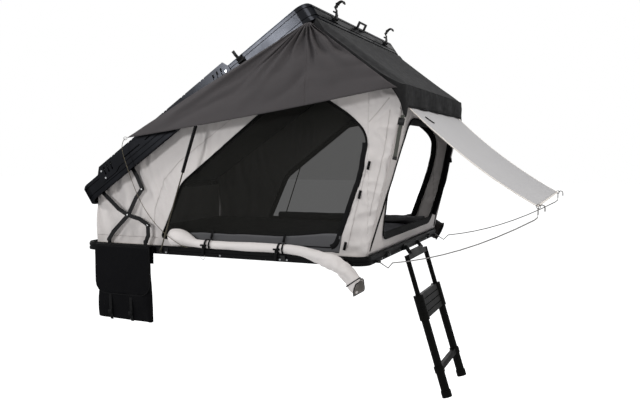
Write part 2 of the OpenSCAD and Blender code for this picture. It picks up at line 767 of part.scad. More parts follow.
// Sagging sheet from under the valance to the rods
module visor() {
    half_in = half_w - 190;
    half_out = half_w - 155;
    start = front_high + [soft_gap + 1, 28];
    end = [half_l + visor_out, visor_z];
    n = 16;
    line = [for (i = [0 : n]) let (f = i / n) mix(start, end, f) - [0, 4 * visor_sag * f * (1 - f)]];
    color("#c3c2c1") intersection() {
        translate([0, half_w, 0]) rotate([90, 0, 0]) linear_extrude(shell_w)
            polygon(concat(line, [for (i = [n : -1 : 0]) line[i] - [0, cloth_t]]));
        linear_extrude(start[1] + 100) polygon([[start[0], -half_in], [end[0], -half_out], [end[0], half_out],
            [start[0], half_in]]);
    }
}

// Bent spring rods: a pin in the base eye, a kink, a long bowed run, a riser and a hooked tip
module visor_rods() {
    pin_l = 20;
    color("#8d8f92") both_sides() {
        swept_tube(rod_route, [for (q = rod_route) rod_d / 2], 8, 1);
        translate([rod_eye[0], -rod_y + pin_l, rod_eye[1]]) rotate([90, 0, 0])
            cylinder(d = rod_d, h = pin_l + 6);
    }
}

// Shoe bag

bag_rear = strut_low[0] - bag_gap - bag_w;
bag_top = base_h - 2;
bag_wall = 4;
bag_back = half_w + 6;
bag_mouth = 110;

// Side view of the bag as [distance out, height]
function bag_side(inset) = [[bag_back + inset, bag_top - bag_h + inset],
    [bag_back + bag_d - inset, bag_top - bag_h + inset], [bag_back + bag_d - inset, bag_top + 1],
    [bag_back + inset, bag_top + 1]];

module bag_prism(outline, w) {
    translate([bag_rear + bag_w / 2 - w / 2, 0, 0]) rotate([90, 0, 90]) mirror([1, 0, 0])
        linear_extrude(w) polygon(outline);
}

// Open-topped pouch with a low front and a tall back
module bag_body() {
    color("#161617") difference() {
        bag_prism(bag_side(0), bag_w);
        bag_prism(bag_side(bag_wall), bag_w - 2 * bag_wall);
        translate([bag_rear - 1, -half_w - 200, bag_top]) cube([bag_w + 2, 200, 60]);
        translate([bag_rear - 1, -bag_back - 200, bag_top - bag_mouth])
            cube([bag_w + 2, 200 - bag_wall, bag_mouth + 60]);
    }
}

// Webbing hooks that hold the bag on the rail's slot
module bag_hanger() {
    strap = 40;
    color("#1f1f20") for (x = [0.2, 0.8])
        translate([bag_rear + x * bag_w - strap / 2, -bag_back, base_h / 2 - 6]) cube([strap, 6, 9]);
}

flap_out = bag_back + bag_d + 1;
flap_t = 3;
flap_r = 60;

// Flap folded over the front, with round lower corners
module bag_flap() {
    top = bag_top + 1;
    color("#1b1b1c") {
        translate([bag_rear - 6, -flap_out - flap_t, top])
            cube([bag_w + 12, flap_out + flap_t - bag_back - 2, flap_t]);
        side_slab(flap_out, flap_out + flap_t) translate([bag_rear - 6, top - flap_l]) {
            translate([flap_r, 0]) square([bag_w + 12 - 2 * flap_r, flap_r + 1]);
            translate([0, flap_r]) square([bag_w + 12, flap_l - flap_r + 1]);
            for (x = [flap_r, bag_w + 12 - flap_r]) translate([x, flap_r]) circle(flap_r);
        }
    }
}

// Lid

module lid_rail_left() {
    color("#3f4347") in_lid() rail_along_x(lid_profile);
}

module lid_rail_right() {
    color("#3f4347") in_lid() mirror([0, 1, 0]) rail_along_x(lid_profile);
}

module lid_rail_front() {
    color("#3f4347") in_lid() rail_along_y(lid_profile);
}

module lid_rail_rear() {
    color("#2b2d30") in_lid() mirror([1, 0, 0]) rail_along_y(lid_profile);
}

module lid_corners() {
    color("#3f4347") in_lid() four_corners(lid_profile);
}

module lid_skin() {
    inset = 7;
    color("#5d646b") in_lid() translate([0, 0, lid_rail_h]) linear_extrude(skin_t)
        rounded_rect(shell_l - 2 * inset, shell_w - 2 * inset, corner_r - inset);
}

module lid_liner() {
    side = lid_flange_w + 31;
    ends = lid_web + 1;
    color("#8a8783") in_lid() translate([0, 0, lid_rail_h - lid_flange_t - liner_t]) linear_extrude(liner_t)
        square([shell_l - 2 * ends - 2 * corner_r, shell_w - 2 * side], center = true);
}

// Slotted accessory plate on the lid's side, in the lid's frame
module side_plate() {
    top = lid_h + plate_rise;
    a = plate_start - half_l;
    b = plate_end - half_l;
    cut = 44;
    notch = 9;
    color("#34383c") in_lid() side_slab(half_w, half_w + plate_t) difference() {
        polygon([[a, plate_low + 12], [a, top - cut], [a + cut, top], [b - cut / 2, top], [b, top - cut],
            [b, plate_low], [b - 150, plate_low], [b - 190, plate_low + 18], [a + 190, plate_low + 18],
            [a + 150, plate_low],
            [a + 16, plate_low]]);
        for (e = [a + 72, b - 128], i = [0 : 2]) translate([e + 34 * i, (top + plate_low) / 2 + 4])
            rotate(78) slot_shape(58, 13);
        for (x = [a + 330 : 220 : b - 330]) translate([x, plate_low + 44]) slot_shape(170, 9);
        for (x = [a + 190 : 172 : b - 160], d = [-14, 14]) translate([x + d, top]) circle(notch / 2);
    }
}

module side_plate_left() {
    side_plate();
}

module side_plate_right() {
    mirror([0, 1, 0]) side_plate();
}

module plate_screws() {
    head_r = 6.5;
    head_t = 3.5;
    places = [[plate_start + 46, plate_low + 72], [plate_start + 52, plate_low + 14],
        [plate_end - 40, plate_low + 14], [plate_end - 30, plate_low + 46]];
    color("#d3d5d8") in_lid() both_sides()
        for (q = places) side_slab(half_w + plate_t, half_w + plate_t + head_t)
            translate([q[0] - half_l, q[1]]) circle(head_r);
}

// Pivot blocks of the scissor hinges and the strut studs, fixed to the lid
module lid_brackets() {
    block = 30;
    plate = 4;
    flange = lid_rail_h - lid_flange_t;
    s5 = arm_s - half_l;
    s4 = link_s - half_l;
    inner = layer_in(3) - soft_gap;
    color("#18181a") in_lid() both_sides() {
        side_slab(layer_out(1) + soft_gap, half_w - lid_web)
            translate([s5 - block / 2, pivot_n - block / 2]) square([block, block]);
        side_slab(inner - bar_t, inner) translate([s4 - block / 2, pivot_n - block / 2])
            square([block, flange - pivot_n + block / 2]);
        side_slab(inner, half_w - lid_web) translate([s4 - block / 2, flange - plate]) square([block, plate]);
        side_slab(half_w + plate_t, half_w + plate_t + plate)
            translate([strut_s - half_l, strut_n]) circle(14);
        side_slab(half_w + plate_t + plate, strut_y - eye_t / 2 - soft_gap)
            translate([strut_s - half_l, strut_n]) circle(9);
    }
}

latch_n = 62;
side_latch_n = 78;
latch_ear = 8;
latch_pin_d = 6;
latch_out = 13;
side_latch_x = rear_x + plate_end + 95;

// Base of a toggle latch: plate, two ears and a cross pin; the plate lies on z = 0 with the lever towards +y
module latch_base() {
    plate = 4;
    translate([-latch_w / 2, -24, 0]) cube([latch_w, 48, plate]);
    for (x = [-1, 1]) translate([x * (latch_w / 2 - latch_ear / 4) - latch_ear / 4, 0, 0])
        rotate([90, 0, 90]) linear_extrude(latch_ear / 2) {
            translate([-9, plate - 1]) square([18, latch_out - plate + 1]);
            translate([0, latch_out]) circle(9);
        }
    translate([-latch_w / 2, 0, latch_out]) rotate([0, 90, 0]) cylinder(d = latch_pin_d, h = latch_w);
}

// Lever of a toggle latch, raised: barrel, curved arm and hooked tip
module latch_lever() {
    w = latch_w - latch_ear - 2;
    rotate([90, 0, 90]) translate([0, 0, -w / 2]) difference() {
        union() {
            linear_extrude(w) {
                translate([0, latch_out]) circle(7);
                bar_shape([[0, latch_out], [20, latch_out + 16]], 7);
            }
            translate([0, 0, w / 2 - 9]) linear_extrude(18)
                bar_shape([[20, latch_out + 16], [42, latch_out + 30], [66, latch_out + 34]], 8);
        }
        translate([0, latch_out, -1]) cylinder(d = latch_pin_d + 2 * pin_fit, h = w + 2);
    }
}

module at_front_latch(y) {
    in_lid() translate([half_l, y, latch_n]) rotate([90, 0, 90]) children();
}

module at_side_latch() {
    in_lid() translate([side_latch_x, -half_w, side_latch_n]) rotate([90, 0, 0]) children();
}

module latch_bases() {
    color("#1a1a1b") {
        for (y = [-1, 1]) at_front_latch(latch_mid + y * latch_half) latch_base();
        both_sides() at_side_latch() latch_base();
    }
}

module front_latch_left() {
    color("#222223") at_front_latch(latch_mid - latch_half) latch_lever();
}

module front_latch_right() {
    color("#222223") at_front_latch(latch_mid + latch_half) latch_lever();
}

module side_latch_left() {
    color("#222223") at_side_latch() latch_lever();
}

module side_latch_right() {
    color("#222223") mirror([0, 1, 0]) at_side_latch() latch_lever();
}

// Bail handle on the lid's front edge
module lid_handle() {
    span = 150;
    reach = 52;
    t = 14;
    tilt = 30;
    color("#19191a") in_lid() translate([half_l, latch_mid, 92]) {
        translate([0, -span / 2, -11]) cube([4, span, 22]);
        intersection() {
            rotate([0, -tilt, 0]) translate([-10, -span / 2, -t / 2]) difference() {
                cube([reach + 10, span, t]);
                translate([-1, t, -1]) cube([reach + 11 - t, span - 2 * t, t + 2]);
            }
            translate([0, -span, -20]) cube([100, 2 * span, 100]);
        }
    }
}

// Scissor hinge

arm_a_path = [p1, beside(p1, p2, 0.28, 10), p2, beside(p2, p3, 0.65, 8), p3];
arm_b_path = [p5, beside(p5, p2, 0.7, -12), p2, beside(p2, p6, 0.55, 13), p6];
link_a_path = [p4, beside(p4, p3, 0.5, 6), p3];
link_b_path = [p6, beside(p6, p7, 0.6, 12), p7];
rivet_t = 2.5;
rivet_r = 8;

module pin_bore(q) {
    translate(q) circle(d = pin_d + 2 * pin_fit);
}

// Long arms from the base pivots; they carry the crossing rivet and the upper rivet
module scissor_arms_a() {
    color("#17171a") both_sides() {
        side_slab(layer_in(2), layer_out(2)) difference() {
            bar_shape(arm_a_path, bar_w);
            pin_bore(p1);
        }
        side_slab(layer_out(2), layer_out(1)) translate(p2) circle(d = pin_d);
        side_slab(layer_out(1), layer_out(1) + rivet_t) translate(p2) circle(rivet_r);
        side_slab(layer_in(3), layer_in(2)) translate(p3) circle(d = pin_d);
        side_slab(layer_out(2), layer_out(2) + rivet_t) translate(p3) circle(rivet_r);
    }
}

// Long arms towards the lid
module scissor_arms_b() {
    color("#17171a") both_sides() side_slab(layer_in(1), layer_out(1)) difference() {
        bar_shape(arm_b_path, bar_w);
        pin_bore(p2);
    }
}

// Short links from the upper rivet to the lid
module scissor_links_a() {
    color("#17171a") both_sides() side_slab(layer_in(3), layer_out(3)) difference() {
        bar_shape(link_a_path, bar_w);
        pin_bore(p3);
    }
}

// Short links from the base to the lower rivet
module scissor_links_b() {
    color("#17171a") both_sides() {
        side_slab(layer_in(0), layer_out(0)) difference() {
            bar_shape(link_b_path, bar_w);
            pin_bore(p7);
        }
        side_slab(layer_out(0), layer_out(0) + rivet_t) translate(p6) circle(rivet_r);
    }
}

// Gas struts

module along_strut() {
    translate([strut_top[0], -strut_y, strut_top[1]]) rotate([0, -90 - strut_angle, 0]) children();
}

strut_open = norm(strut_top - strut_low);
strut_pin_d = 8;
// Length of the rod that stays in the tube of the raised lid's strut
strut_grip = 16;
eye_r = 10;
eye_t = 10;

module strut_eye() {
    translate([0, eye_t / 2, 0]) rotate([90, 0, 0]) cylinder(r = eye_r, h = eye_t);
}

// Tube with a flat upper eye, open below for the rod
module strut_tubes() {
    neck = 24;
    color("#151517") both_sides() along_strut() difference() {
        union() {
            strut_eye();
            translate([-eye_r * 0.7, -eye_t / 2, 0]) cube([eye_r * 1.4, eye_t, neck]);
            translate([0, 0, neck]) cylinder(d = strut_d, h = strut_tube_l - neck);
        }
        translate([0, 0, neck + 6]) cylinder(d = strut_rod_d + 2 * tube_gap, h = strut_tube_l);
    }
}

// Rod with its lower eye on the base stud
module strut_rods() {
    neck = 22;
    color("#4a4b4e") both_sides() along_strut() difference() {
        union() {
            translate([0, 0, strut_tube_l - strut_grip])
                cylinder(d = strut_rod_d, h = strut_open - strut_tube_l + strut_grip - 8);
            translate([0, 0, strut_open]) strut_eye();
            translate([-eye_r * 0.6, -eye_t / 2, strut_open - neck]) cube([eye_r * 1.2, eye_t, neck]);
        }
        translate([0, eye_t, strut_open]) rotate([90, 0, 0])
            cylinder(d = strut_pin_d + 2 * pin_fit, h = 2 * eye_t);
    }
}

// Ladder

module at_rails() {
    for (y = [-1, 1]) translate([0, y * ladder_half, 0]) children();
}

module rail_tube(i, from) {
    translate([0, 0, -tube_end(i)]) cylinder(r = tube_r(i), h = tube_end(i) - from);
}

module rail_bore(i) {
    translate([0, 0, -tube_end(i) - 1]) cylinder(r = bore_r(i), h = tube_end(i));
}

// Top section: hinge barrel, cross plate and the two thin rails
module ladder_top() {
    start = 14;
    plate_h = 36;
    barrel_half = ear_half - ear_t / 2 - 2;
    color("#151516") in_ladder() difference() {
        union() {
            at_rails() rail_tube(0, start);
            translate([0, barrel_half, 0]) rotate([90, 0, 0]) cylinder(r = barrel_r, h = 2 * barrel_half);
            translate([-barrel_r, -barrel_half, -20]) cube([2 * barrel_r, 2 * barrel_half, 20]);
            translate([-barrel_r, -ladder_half, -start - plate_h]) cube([2 * barrel_r, ladder_w, plate_h]);
        }
        at_rails() rail_bore(0);
        translate([0, ear_half, 0]) rotate([90, 0, 0]) cylinder(d = hinge_d + 2 * pin_fit, h = 2 * ear_half);
    }
}

// A telescoping section: two tubes, their collars and the rung between them
module ladder_section(i) {
    top = collar_at(i);
    collar_r = tube_r(5) + collar_wall - 4;
    color("#151516") in_ladder() difference() {
        union() {
            at_rails() {
                rail_tube(i, top);
                translate([0, 0, -top - rung_h]) cylinder(r = collar_r, h = rung_h);
            }
            translate([-rung_d / 2, -ladder_half, -top - rung_h + 2]) cube([rung_d, ladder_w, rung_h - 4]);
        }
        at_rails() translate([0, 0, i == 5 ? foot_cap : 0]) rail_bore(i);
    }
}

module ladder_section_1() {
    ladder_section(1);
}

module ladder_section_2() {
    ladder_section(2);
}

module ladder_section_3() {
    ladder_section(3);
}

module ladder_section_4() {
    ladder_section(4);
}

// Lowest section with its closed feet
module ladder_foot_section() {
    foot_h = 44;
    ladder_section(5);
    color("#0e0e0f") in_ladder() at_rails() difference() {
        translate([0, 0, -foot_end - 6]) cylinder(r = tube_r(5) + 5, h = foot_h);
        translate([0, 0, -foot_end + foot_cap]) cylinder(r = bore_r(5), h = foot_h);
    }
}

base_rail_left();
base_rail_right();
base_rail_front();
base_rail_rear();
base_corners();
floor_panel();
rack_channels();
edge_seal();
base_brackets();
rail_bolts();
ladder_bracket();
latch_catches();
rod_sockets();
mattress();
wall_left();
wall_right();
wall_rear();
wall_front();
roof_fly();
awning_left();
awning_right();
door_mesh_left();
door_roll_left();
door_roll_right();
front_bow();
guy_cord();
bag_body();
bag_hanger();
lid_rail_left();
lid_rail_right();
lid_rail_front();
lid_rail_rear();
lid_corners();
lid_skin();
lid_liner();
side_plate_left();
side_plate_right();
plate_screws();
lid_brackets();
latch_bases();
lid_handle();
scissor_arms_a();
scissor_arms_b();
scissor_links_a();
scissor_links_b();
strut_tubes();
strut_rods();
front_latch_left();
front_latch_right();
side_latch_left();
side_latch_right();
visor();
visor_rods();
bag_flap();
ladder_top();
ladder_section_1();
ladder_section_2();
ladder_section_3();
ladder_section_4();
ladder_foot_section();
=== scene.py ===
"""Looks of a pitched hard-shell roof top tent: cloth, trim, finishes, light and camera round its frame.

Metres, in the part's own frame: +X to the ladder end, +Y to the right side, +Z up.
"""

import json
from math import ceil, copysign, cos, dist, exp, pi, radians, sin, sqrt, tan, tau

import bpy
from mathutils import Vector, geometry, noise
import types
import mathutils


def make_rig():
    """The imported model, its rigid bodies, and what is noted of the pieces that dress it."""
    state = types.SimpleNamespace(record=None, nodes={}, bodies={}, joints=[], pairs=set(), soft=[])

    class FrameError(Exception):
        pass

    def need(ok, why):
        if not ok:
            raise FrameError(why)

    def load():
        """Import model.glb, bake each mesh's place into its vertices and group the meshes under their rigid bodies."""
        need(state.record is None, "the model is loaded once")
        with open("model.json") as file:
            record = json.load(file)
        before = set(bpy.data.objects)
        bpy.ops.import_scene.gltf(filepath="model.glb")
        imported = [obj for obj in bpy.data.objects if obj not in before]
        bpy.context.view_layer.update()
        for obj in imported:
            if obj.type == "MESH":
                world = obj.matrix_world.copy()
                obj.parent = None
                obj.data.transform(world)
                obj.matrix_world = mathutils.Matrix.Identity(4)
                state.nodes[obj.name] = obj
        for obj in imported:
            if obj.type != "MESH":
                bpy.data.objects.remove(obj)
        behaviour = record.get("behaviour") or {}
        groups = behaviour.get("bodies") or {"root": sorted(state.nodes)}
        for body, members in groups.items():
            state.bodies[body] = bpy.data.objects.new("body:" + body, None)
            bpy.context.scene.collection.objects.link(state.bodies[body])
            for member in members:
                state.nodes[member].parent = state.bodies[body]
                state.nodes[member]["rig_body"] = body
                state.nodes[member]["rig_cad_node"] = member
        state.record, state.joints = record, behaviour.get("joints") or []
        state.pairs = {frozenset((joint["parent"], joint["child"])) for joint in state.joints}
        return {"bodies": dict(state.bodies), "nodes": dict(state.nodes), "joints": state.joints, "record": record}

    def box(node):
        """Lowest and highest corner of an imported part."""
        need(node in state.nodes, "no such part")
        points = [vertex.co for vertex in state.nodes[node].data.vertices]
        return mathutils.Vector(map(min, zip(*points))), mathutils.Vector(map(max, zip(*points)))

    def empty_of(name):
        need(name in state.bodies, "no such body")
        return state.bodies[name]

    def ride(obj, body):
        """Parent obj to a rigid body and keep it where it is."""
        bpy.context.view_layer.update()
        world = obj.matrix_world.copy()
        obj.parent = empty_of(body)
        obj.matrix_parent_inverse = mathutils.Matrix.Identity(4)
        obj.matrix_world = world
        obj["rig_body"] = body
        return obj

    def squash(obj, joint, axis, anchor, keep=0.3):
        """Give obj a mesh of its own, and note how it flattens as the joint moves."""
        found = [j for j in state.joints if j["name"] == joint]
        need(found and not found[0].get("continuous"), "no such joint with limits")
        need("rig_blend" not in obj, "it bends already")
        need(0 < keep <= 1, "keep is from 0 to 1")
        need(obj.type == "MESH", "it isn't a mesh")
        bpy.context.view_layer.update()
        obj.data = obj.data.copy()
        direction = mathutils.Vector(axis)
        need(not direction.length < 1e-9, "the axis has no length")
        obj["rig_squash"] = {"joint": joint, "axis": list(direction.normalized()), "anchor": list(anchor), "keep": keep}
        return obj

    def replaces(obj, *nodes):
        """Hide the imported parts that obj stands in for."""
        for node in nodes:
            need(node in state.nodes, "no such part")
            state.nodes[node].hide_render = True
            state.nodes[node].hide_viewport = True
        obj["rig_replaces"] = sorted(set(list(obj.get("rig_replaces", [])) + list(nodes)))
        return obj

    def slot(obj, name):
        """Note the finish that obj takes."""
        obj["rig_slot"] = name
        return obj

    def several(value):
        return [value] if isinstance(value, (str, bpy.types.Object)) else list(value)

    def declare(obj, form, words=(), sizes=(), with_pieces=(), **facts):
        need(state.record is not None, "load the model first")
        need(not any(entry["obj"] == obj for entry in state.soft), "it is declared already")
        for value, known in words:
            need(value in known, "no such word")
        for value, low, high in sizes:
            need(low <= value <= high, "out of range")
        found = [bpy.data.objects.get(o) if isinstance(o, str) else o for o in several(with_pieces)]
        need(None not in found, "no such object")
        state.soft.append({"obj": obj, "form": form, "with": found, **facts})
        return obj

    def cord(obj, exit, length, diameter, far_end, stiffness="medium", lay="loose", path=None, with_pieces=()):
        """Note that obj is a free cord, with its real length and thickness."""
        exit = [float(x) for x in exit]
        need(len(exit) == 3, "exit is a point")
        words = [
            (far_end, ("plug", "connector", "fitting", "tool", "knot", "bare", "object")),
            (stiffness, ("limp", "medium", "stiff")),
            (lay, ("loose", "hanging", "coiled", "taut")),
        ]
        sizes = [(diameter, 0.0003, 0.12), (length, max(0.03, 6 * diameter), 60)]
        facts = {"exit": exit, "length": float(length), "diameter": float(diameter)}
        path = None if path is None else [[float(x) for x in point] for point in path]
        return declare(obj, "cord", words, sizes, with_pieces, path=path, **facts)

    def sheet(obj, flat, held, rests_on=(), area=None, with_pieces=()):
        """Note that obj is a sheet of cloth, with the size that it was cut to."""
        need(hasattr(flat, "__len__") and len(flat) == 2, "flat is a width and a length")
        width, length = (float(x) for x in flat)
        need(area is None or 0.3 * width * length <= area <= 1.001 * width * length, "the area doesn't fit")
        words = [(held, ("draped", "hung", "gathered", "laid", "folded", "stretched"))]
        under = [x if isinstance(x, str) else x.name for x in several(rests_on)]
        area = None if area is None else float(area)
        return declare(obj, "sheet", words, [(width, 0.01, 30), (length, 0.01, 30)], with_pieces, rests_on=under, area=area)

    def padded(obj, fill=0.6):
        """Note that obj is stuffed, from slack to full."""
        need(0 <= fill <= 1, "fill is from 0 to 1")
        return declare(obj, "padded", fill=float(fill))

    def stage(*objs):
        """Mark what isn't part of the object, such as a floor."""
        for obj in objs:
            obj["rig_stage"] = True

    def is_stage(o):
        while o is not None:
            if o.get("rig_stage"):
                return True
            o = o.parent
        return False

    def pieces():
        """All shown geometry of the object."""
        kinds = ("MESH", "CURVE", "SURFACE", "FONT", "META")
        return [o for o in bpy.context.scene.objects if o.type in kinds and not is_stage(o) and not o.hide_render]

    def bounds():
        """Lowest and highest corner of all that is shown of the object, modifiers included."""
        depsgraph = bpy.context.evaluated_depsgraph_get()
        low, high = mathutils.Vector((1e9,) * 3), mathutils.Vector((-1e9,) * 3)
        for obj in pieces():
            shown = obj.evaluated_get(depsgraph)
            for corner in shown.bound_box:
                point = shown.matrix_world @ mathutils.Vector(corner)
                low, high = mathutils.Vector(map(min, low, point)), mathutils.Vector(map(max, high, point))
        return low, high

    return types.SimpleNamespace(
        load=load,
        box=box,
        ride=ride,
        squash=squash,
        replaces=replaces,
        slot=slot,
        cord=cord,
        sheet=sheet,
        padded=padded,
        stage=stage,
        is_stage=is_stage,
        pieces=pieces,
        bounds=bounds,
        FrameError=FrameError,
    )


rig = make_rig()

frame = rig.load()
cad_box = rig.bounds()
scene = bpy.context.scene

# Driving sizes, as in the part's source

HALF_L = 1.05
FLOOR_TOP = 0.0403
WALL_Y = 0.845
FLY_HALF = 0.943
CLOTH_T = 0.003
LID_ANGLE = radians(34.15)
LID_REAR = (-1.019, 0.311)
REAR_WALL_X = -0.994
FRONT_LOW, FRONT_HIGH, FRONT_PEAK = (1.03, 0.056), (1.235, 0.93), (1.237, 1.056)
EAVE, VALANCE_LOW = (1.252, 1.08), 0.945
FLY_HEM, FLY_R = 0.05, 0.13
VISOR_START, VISOR_END = (1.2365, 0.957), (2.0, 0.381)
SIDES = ((-1, "left"), (1, "right"))
X_AXIS, Y_AXIS, Z_AXIS = (1, 0, 0), (0, 1, 0), (0, 0, 1)


def mix(a, b, f):
    return a + (b - a) * f


def between(p, q, f):
    """The point at the share f of the way from p to q."""
    return tuple(mix(a, b, f) for a, b in zip(p, q))


def ease(t):
    """A smooth step from 0 to 1."""
    t = min(1.0, max(0.0, t))
    return t * t * (3 - 2 * t)


def shares(count):
    """Even steps from 0 to 1."""
    return [k / count for k in range(count + 1)]


def circle(count):
    """Even angles round a full turn."""
    return [tau * k / count for k in range(count)]


def lid_point(s, n):
    """A point of the raised lid as (x, z), s along it from its rear edge and n above its rim."""
    return (LID_REAR[0] + s * cos(LID_ANGLE) - n * sin(LID_ANGLE),
            LID_REAR[1] + s * sin(LID_ANGLE) + n * cos(LID_ANGLE))


def rumple(x, y, z, scale):
    """Smooth noise from about -1 to 1, the same on each run."""
    return noise.noise(Vector((x, y, z)) * scale)


# Camera, at the photograph's angle

LENS_MM, SENSOR_MM = 39.68, 36
CAMERA_AT, CAMERA_DOWN, CAMERA_TURN = (2.3729, -4.8598, 0.6779), 0.0669, 0.3911

camera = bpy.data.objects.new("camera", bpy.data.cameras.new("camera"))
camera.data.lens, camera.data.sensor_width = LENS_MM, SENSOR_MM
camera.location = CAMERA_AT
camera.rotation_euler = (pi / 2 - CAMERA_DOWN, 0, CAMERA_TURN)
scene.collection.objects.link(camera)
scene.camera = camera


# Materials

BAND_M = 0.314  # length of one band of a wave texture at scale 1
MIX_SHARE, MIX_A, MIX_B, MIX_OUT = 0, 6, 7, 2  # places of a mix node's colour sockets
FLAT_DOT, SHARP_DOT, WEAR_M = 0.99, 0.8, 0.003
YARN_M, NET_M, GRAIN_M, BRUSH_M, RIB_M, BOARD_M = 0.0003, 0.0002, 0.0003, 0.0004, 0.0006, 0.0005
STRAND, RIB = 0.006, 0.003
finishes, slots = {}, {}  # each finish by its name, and the slot that each goes by


def rgb(r, g, b):
    """A linear colour from the values of a picture, 0 to 255."""
    return [((c / 255 + 0.055) / 1.055) ** 2.4 if c > 10 else c / 255 / 12.92 for c in (r, g, b)] + [1.0]


def times(colour, k):
    return [c * k for c in colour[:3]] + [1.0]


class Nodes:
    """Short ways to add nodes to a tree."""

    def __init__(self, tree):
        self.tree = tree

    def put(self, socket, value):
        if isinstance(value, bpy.types.NodeSocket):
            self.tree.links.new(value, socket)
        else:
            socket.default_value = value

    def fill(self, inputs, values):
        for key, value in values.items():
            self.put(inputs[key.replace("_", " ")], value)

    def node(self, kind, **values):
        made = self.tree.nodes.new("ShaderNode" + kind)
        self.fill(made.inputs, values)
        return made

    def combined(self, kind, operation, a, b, out=0):
        made = self.node(kind)
        made.operation = operation
        self.put(made.inputs[0], a)
        self.put(made.inputs[1], b)
        return made.outputs[out]

    def product(self, a, b):
        return self.combined("Math", "MULTIPLY", a, b)


class Surface(Nodes):
    """A material, with short ways to add texture to its shader."""

    def __init__(self, name, slot=None):
        self.material = bpy.data.materials.new(name)
        self.material.use_nodes = True
        super().__init__(self.material.node_tree)
        self.shader = self.tree.nodes["Principled BSDF"]
        self.place = self.node("TexCoord").outputs["Object"]
        finishes[name] = self.material
        slots[self.material.name] = slot or name

    def set(self, **values):
        self.fill(self.shader.inputs, values)

    def stretched(self, x, y, z):
        return self.node("Mapping", Vector=self.place, Scale=(x, y, z)).outputs[0]

    def noise(self, scale, detail=3.0, at=None):
        return self.node("TexNoise", Vector=at or self.place, Scale=scale, Detail=detail).outputs["Fac"]

    def patches(self, scale, detail, low, high):
        """Noise, with its values from low to high spread over 0 to 1."""
        return self.remap(self.noise(scale, detail), low, high)

    def threads(self, spacing, direction, at=None):
        """Even bands, for one set of a weave's threads, for ribs or for strands."""
        wave = self.node("TexWave", Vector=at or self.place, Scale=BAND_M / spacing)
        wave.bands_direction = direction
        return wave.outputs["Fac"]

    def remap(self, value, low, high, to_low=0.0, to_high=1.0):
        return self.node("MapRange", Value=value, From_Min=low, From_Max=high, To_Min=to_low,
                         To_Max=to_high).outputs[0]

    def mixed(self, share, a, b):
        made = self.node("Mix")
        made.data_type = "RGBA"
        for place, value in ((MIX_SHARE, share), (MIX_A, a), (MIX_B, b)):
            self.put(made.inputs[place], value)
        return made.outputs[MIX_OUT]

    def bump(self, height, distance, strength, under=None):
        made = self.node("Bump", Height=height, Distance=distance, Strength=strength)
        if under is not None:
            self.put(made.inputs["Normal"], under)
        return made.outputs[0]

    def edges(self, radius):
        """1 along sharp edges and 0 on flat faces."""
        rounded = self.node("Bevel", Radius=radius).outputs[0]
        plain = self.node("NewGeometry").outputs["Normal"]
        same = self.combined("VectorMath", "DOT_PRODUCT", rounded, plain, "Value")
        return self.remap(same, FLAT_DOT, SHARP_DOT)

    def follow(self, pattern, colours, rough, height, strength):
        """Colour, relief and roughness after one pattern; rough is what roughness follows, and its ends."""
        self.set(Base_Color=self.mixed(pattern, *colours), Normal=self.bump(pattern, height, strength))
        self.set(Roughness=self.remap(rough[0], 0, 1, *rough[1:]))
        return self.material


def cloth(name, colour, slot=None, shade=0.88, thread=0.0014, crease=0.3, roughness=(0.74, 0.92),
          crease_m=0.004, crease_scale=7.5, gloss=0.12, weave=0.25):
    """Woven cloth: plain weave, soft creases, a little mottling and dust."""
    s = Surface(name, slot)
    dust, mottle_shade, drape = 0.6, 0.55, 0.45
    mottle = s.patches(scale=26, detail=5, low=0.32, high=0.68)
    broad = s.patches(scale=2.4, detail=3, low=0.35, high=0.7)
    mottled = s.mixed(mottle, times(colour, mix(shade, 1, mottle_shade)), colour)
    s.set(Base_Color=s.mixed(s.product(broad, dust), mottled, times(colour, shade)))
    s.set(Roughness=s.remap(mottle, 0, 1, *roughness), Specular_IOR_Level=gloss)
    creases = s.noise(crease_scale, detail=4, at=s.stretched(1.0, 1.0, drape))
    yarn = s.product(s.threads(thread, "X"), s.threads(thread, "Z"))
    s.set(Normal=s.bump(yarn, YARN_M, weave, under=s.bump(creases, crease_m, crease)))
    return s.material


def screen_cloth(name, colour, cover, cell, shade=0.75, gloss=0.1, weave=0.2):
    """Fine netting, seen through in part."""
    s = Surface(name)
    s.set(Base_Color=s.mixed(s.patches(scale=3, detail=3, low=0.3, high=0.7), times(colour, shade), colour))
    holes = s.product(s.threads(cell, "X"), s.threads(cell, "Z"))
    s.set(Alpha=cover, Roughness=s.remap(s.noise(30, detail=2), 0, 1, 0.75, 0.95), Specular_IOR_Level=gloss)
    s.set(Normal=s.bump(holes, NET_M, weave))
    return s.material


def painted(name, colour, roughness, metallic=0.0, slot=None, worn=1.8, grain=0.12, brushed=None, gloss=0.25,
            rim=1.0, brush=0.05, shade=0.86):
    """Powder coat, anodised or moulded faces: fine grain, smudges, paler scuffs along the edges."""
    s = Surface(name, slot)
    smudge = s.patches(scale=6, detail=4, low=0.3, high=0.7)
    edge = s.product(s.edges(WEAR_M), s.patches(scale=55, detail=4, low=0.4, high=0.72))
    base = s.mixed(smudge, times(colour, shade), colour)
    s.set(Base_Color=s.mixed(edge, base, times(colour, worn)), Metallic=metallic, Specular_IOR_Level=gloss,
          Specular_Tint=(rim, rim, rim, 1.0))
    s.set(Roughness=s.remap(smudge, 0, 1, roughness - 0.06, roughness + 0.08))
    relief = s.bump(s.noise(420, detail=2), GRAIN_M, grain)
    if brushed:
        relief = s.bump(s.noise(60, detail=2, at=s.stretched(*brushed)), BRUSH_M, brush, under=relief)
    s.set(Normal=relief)
    return s.material


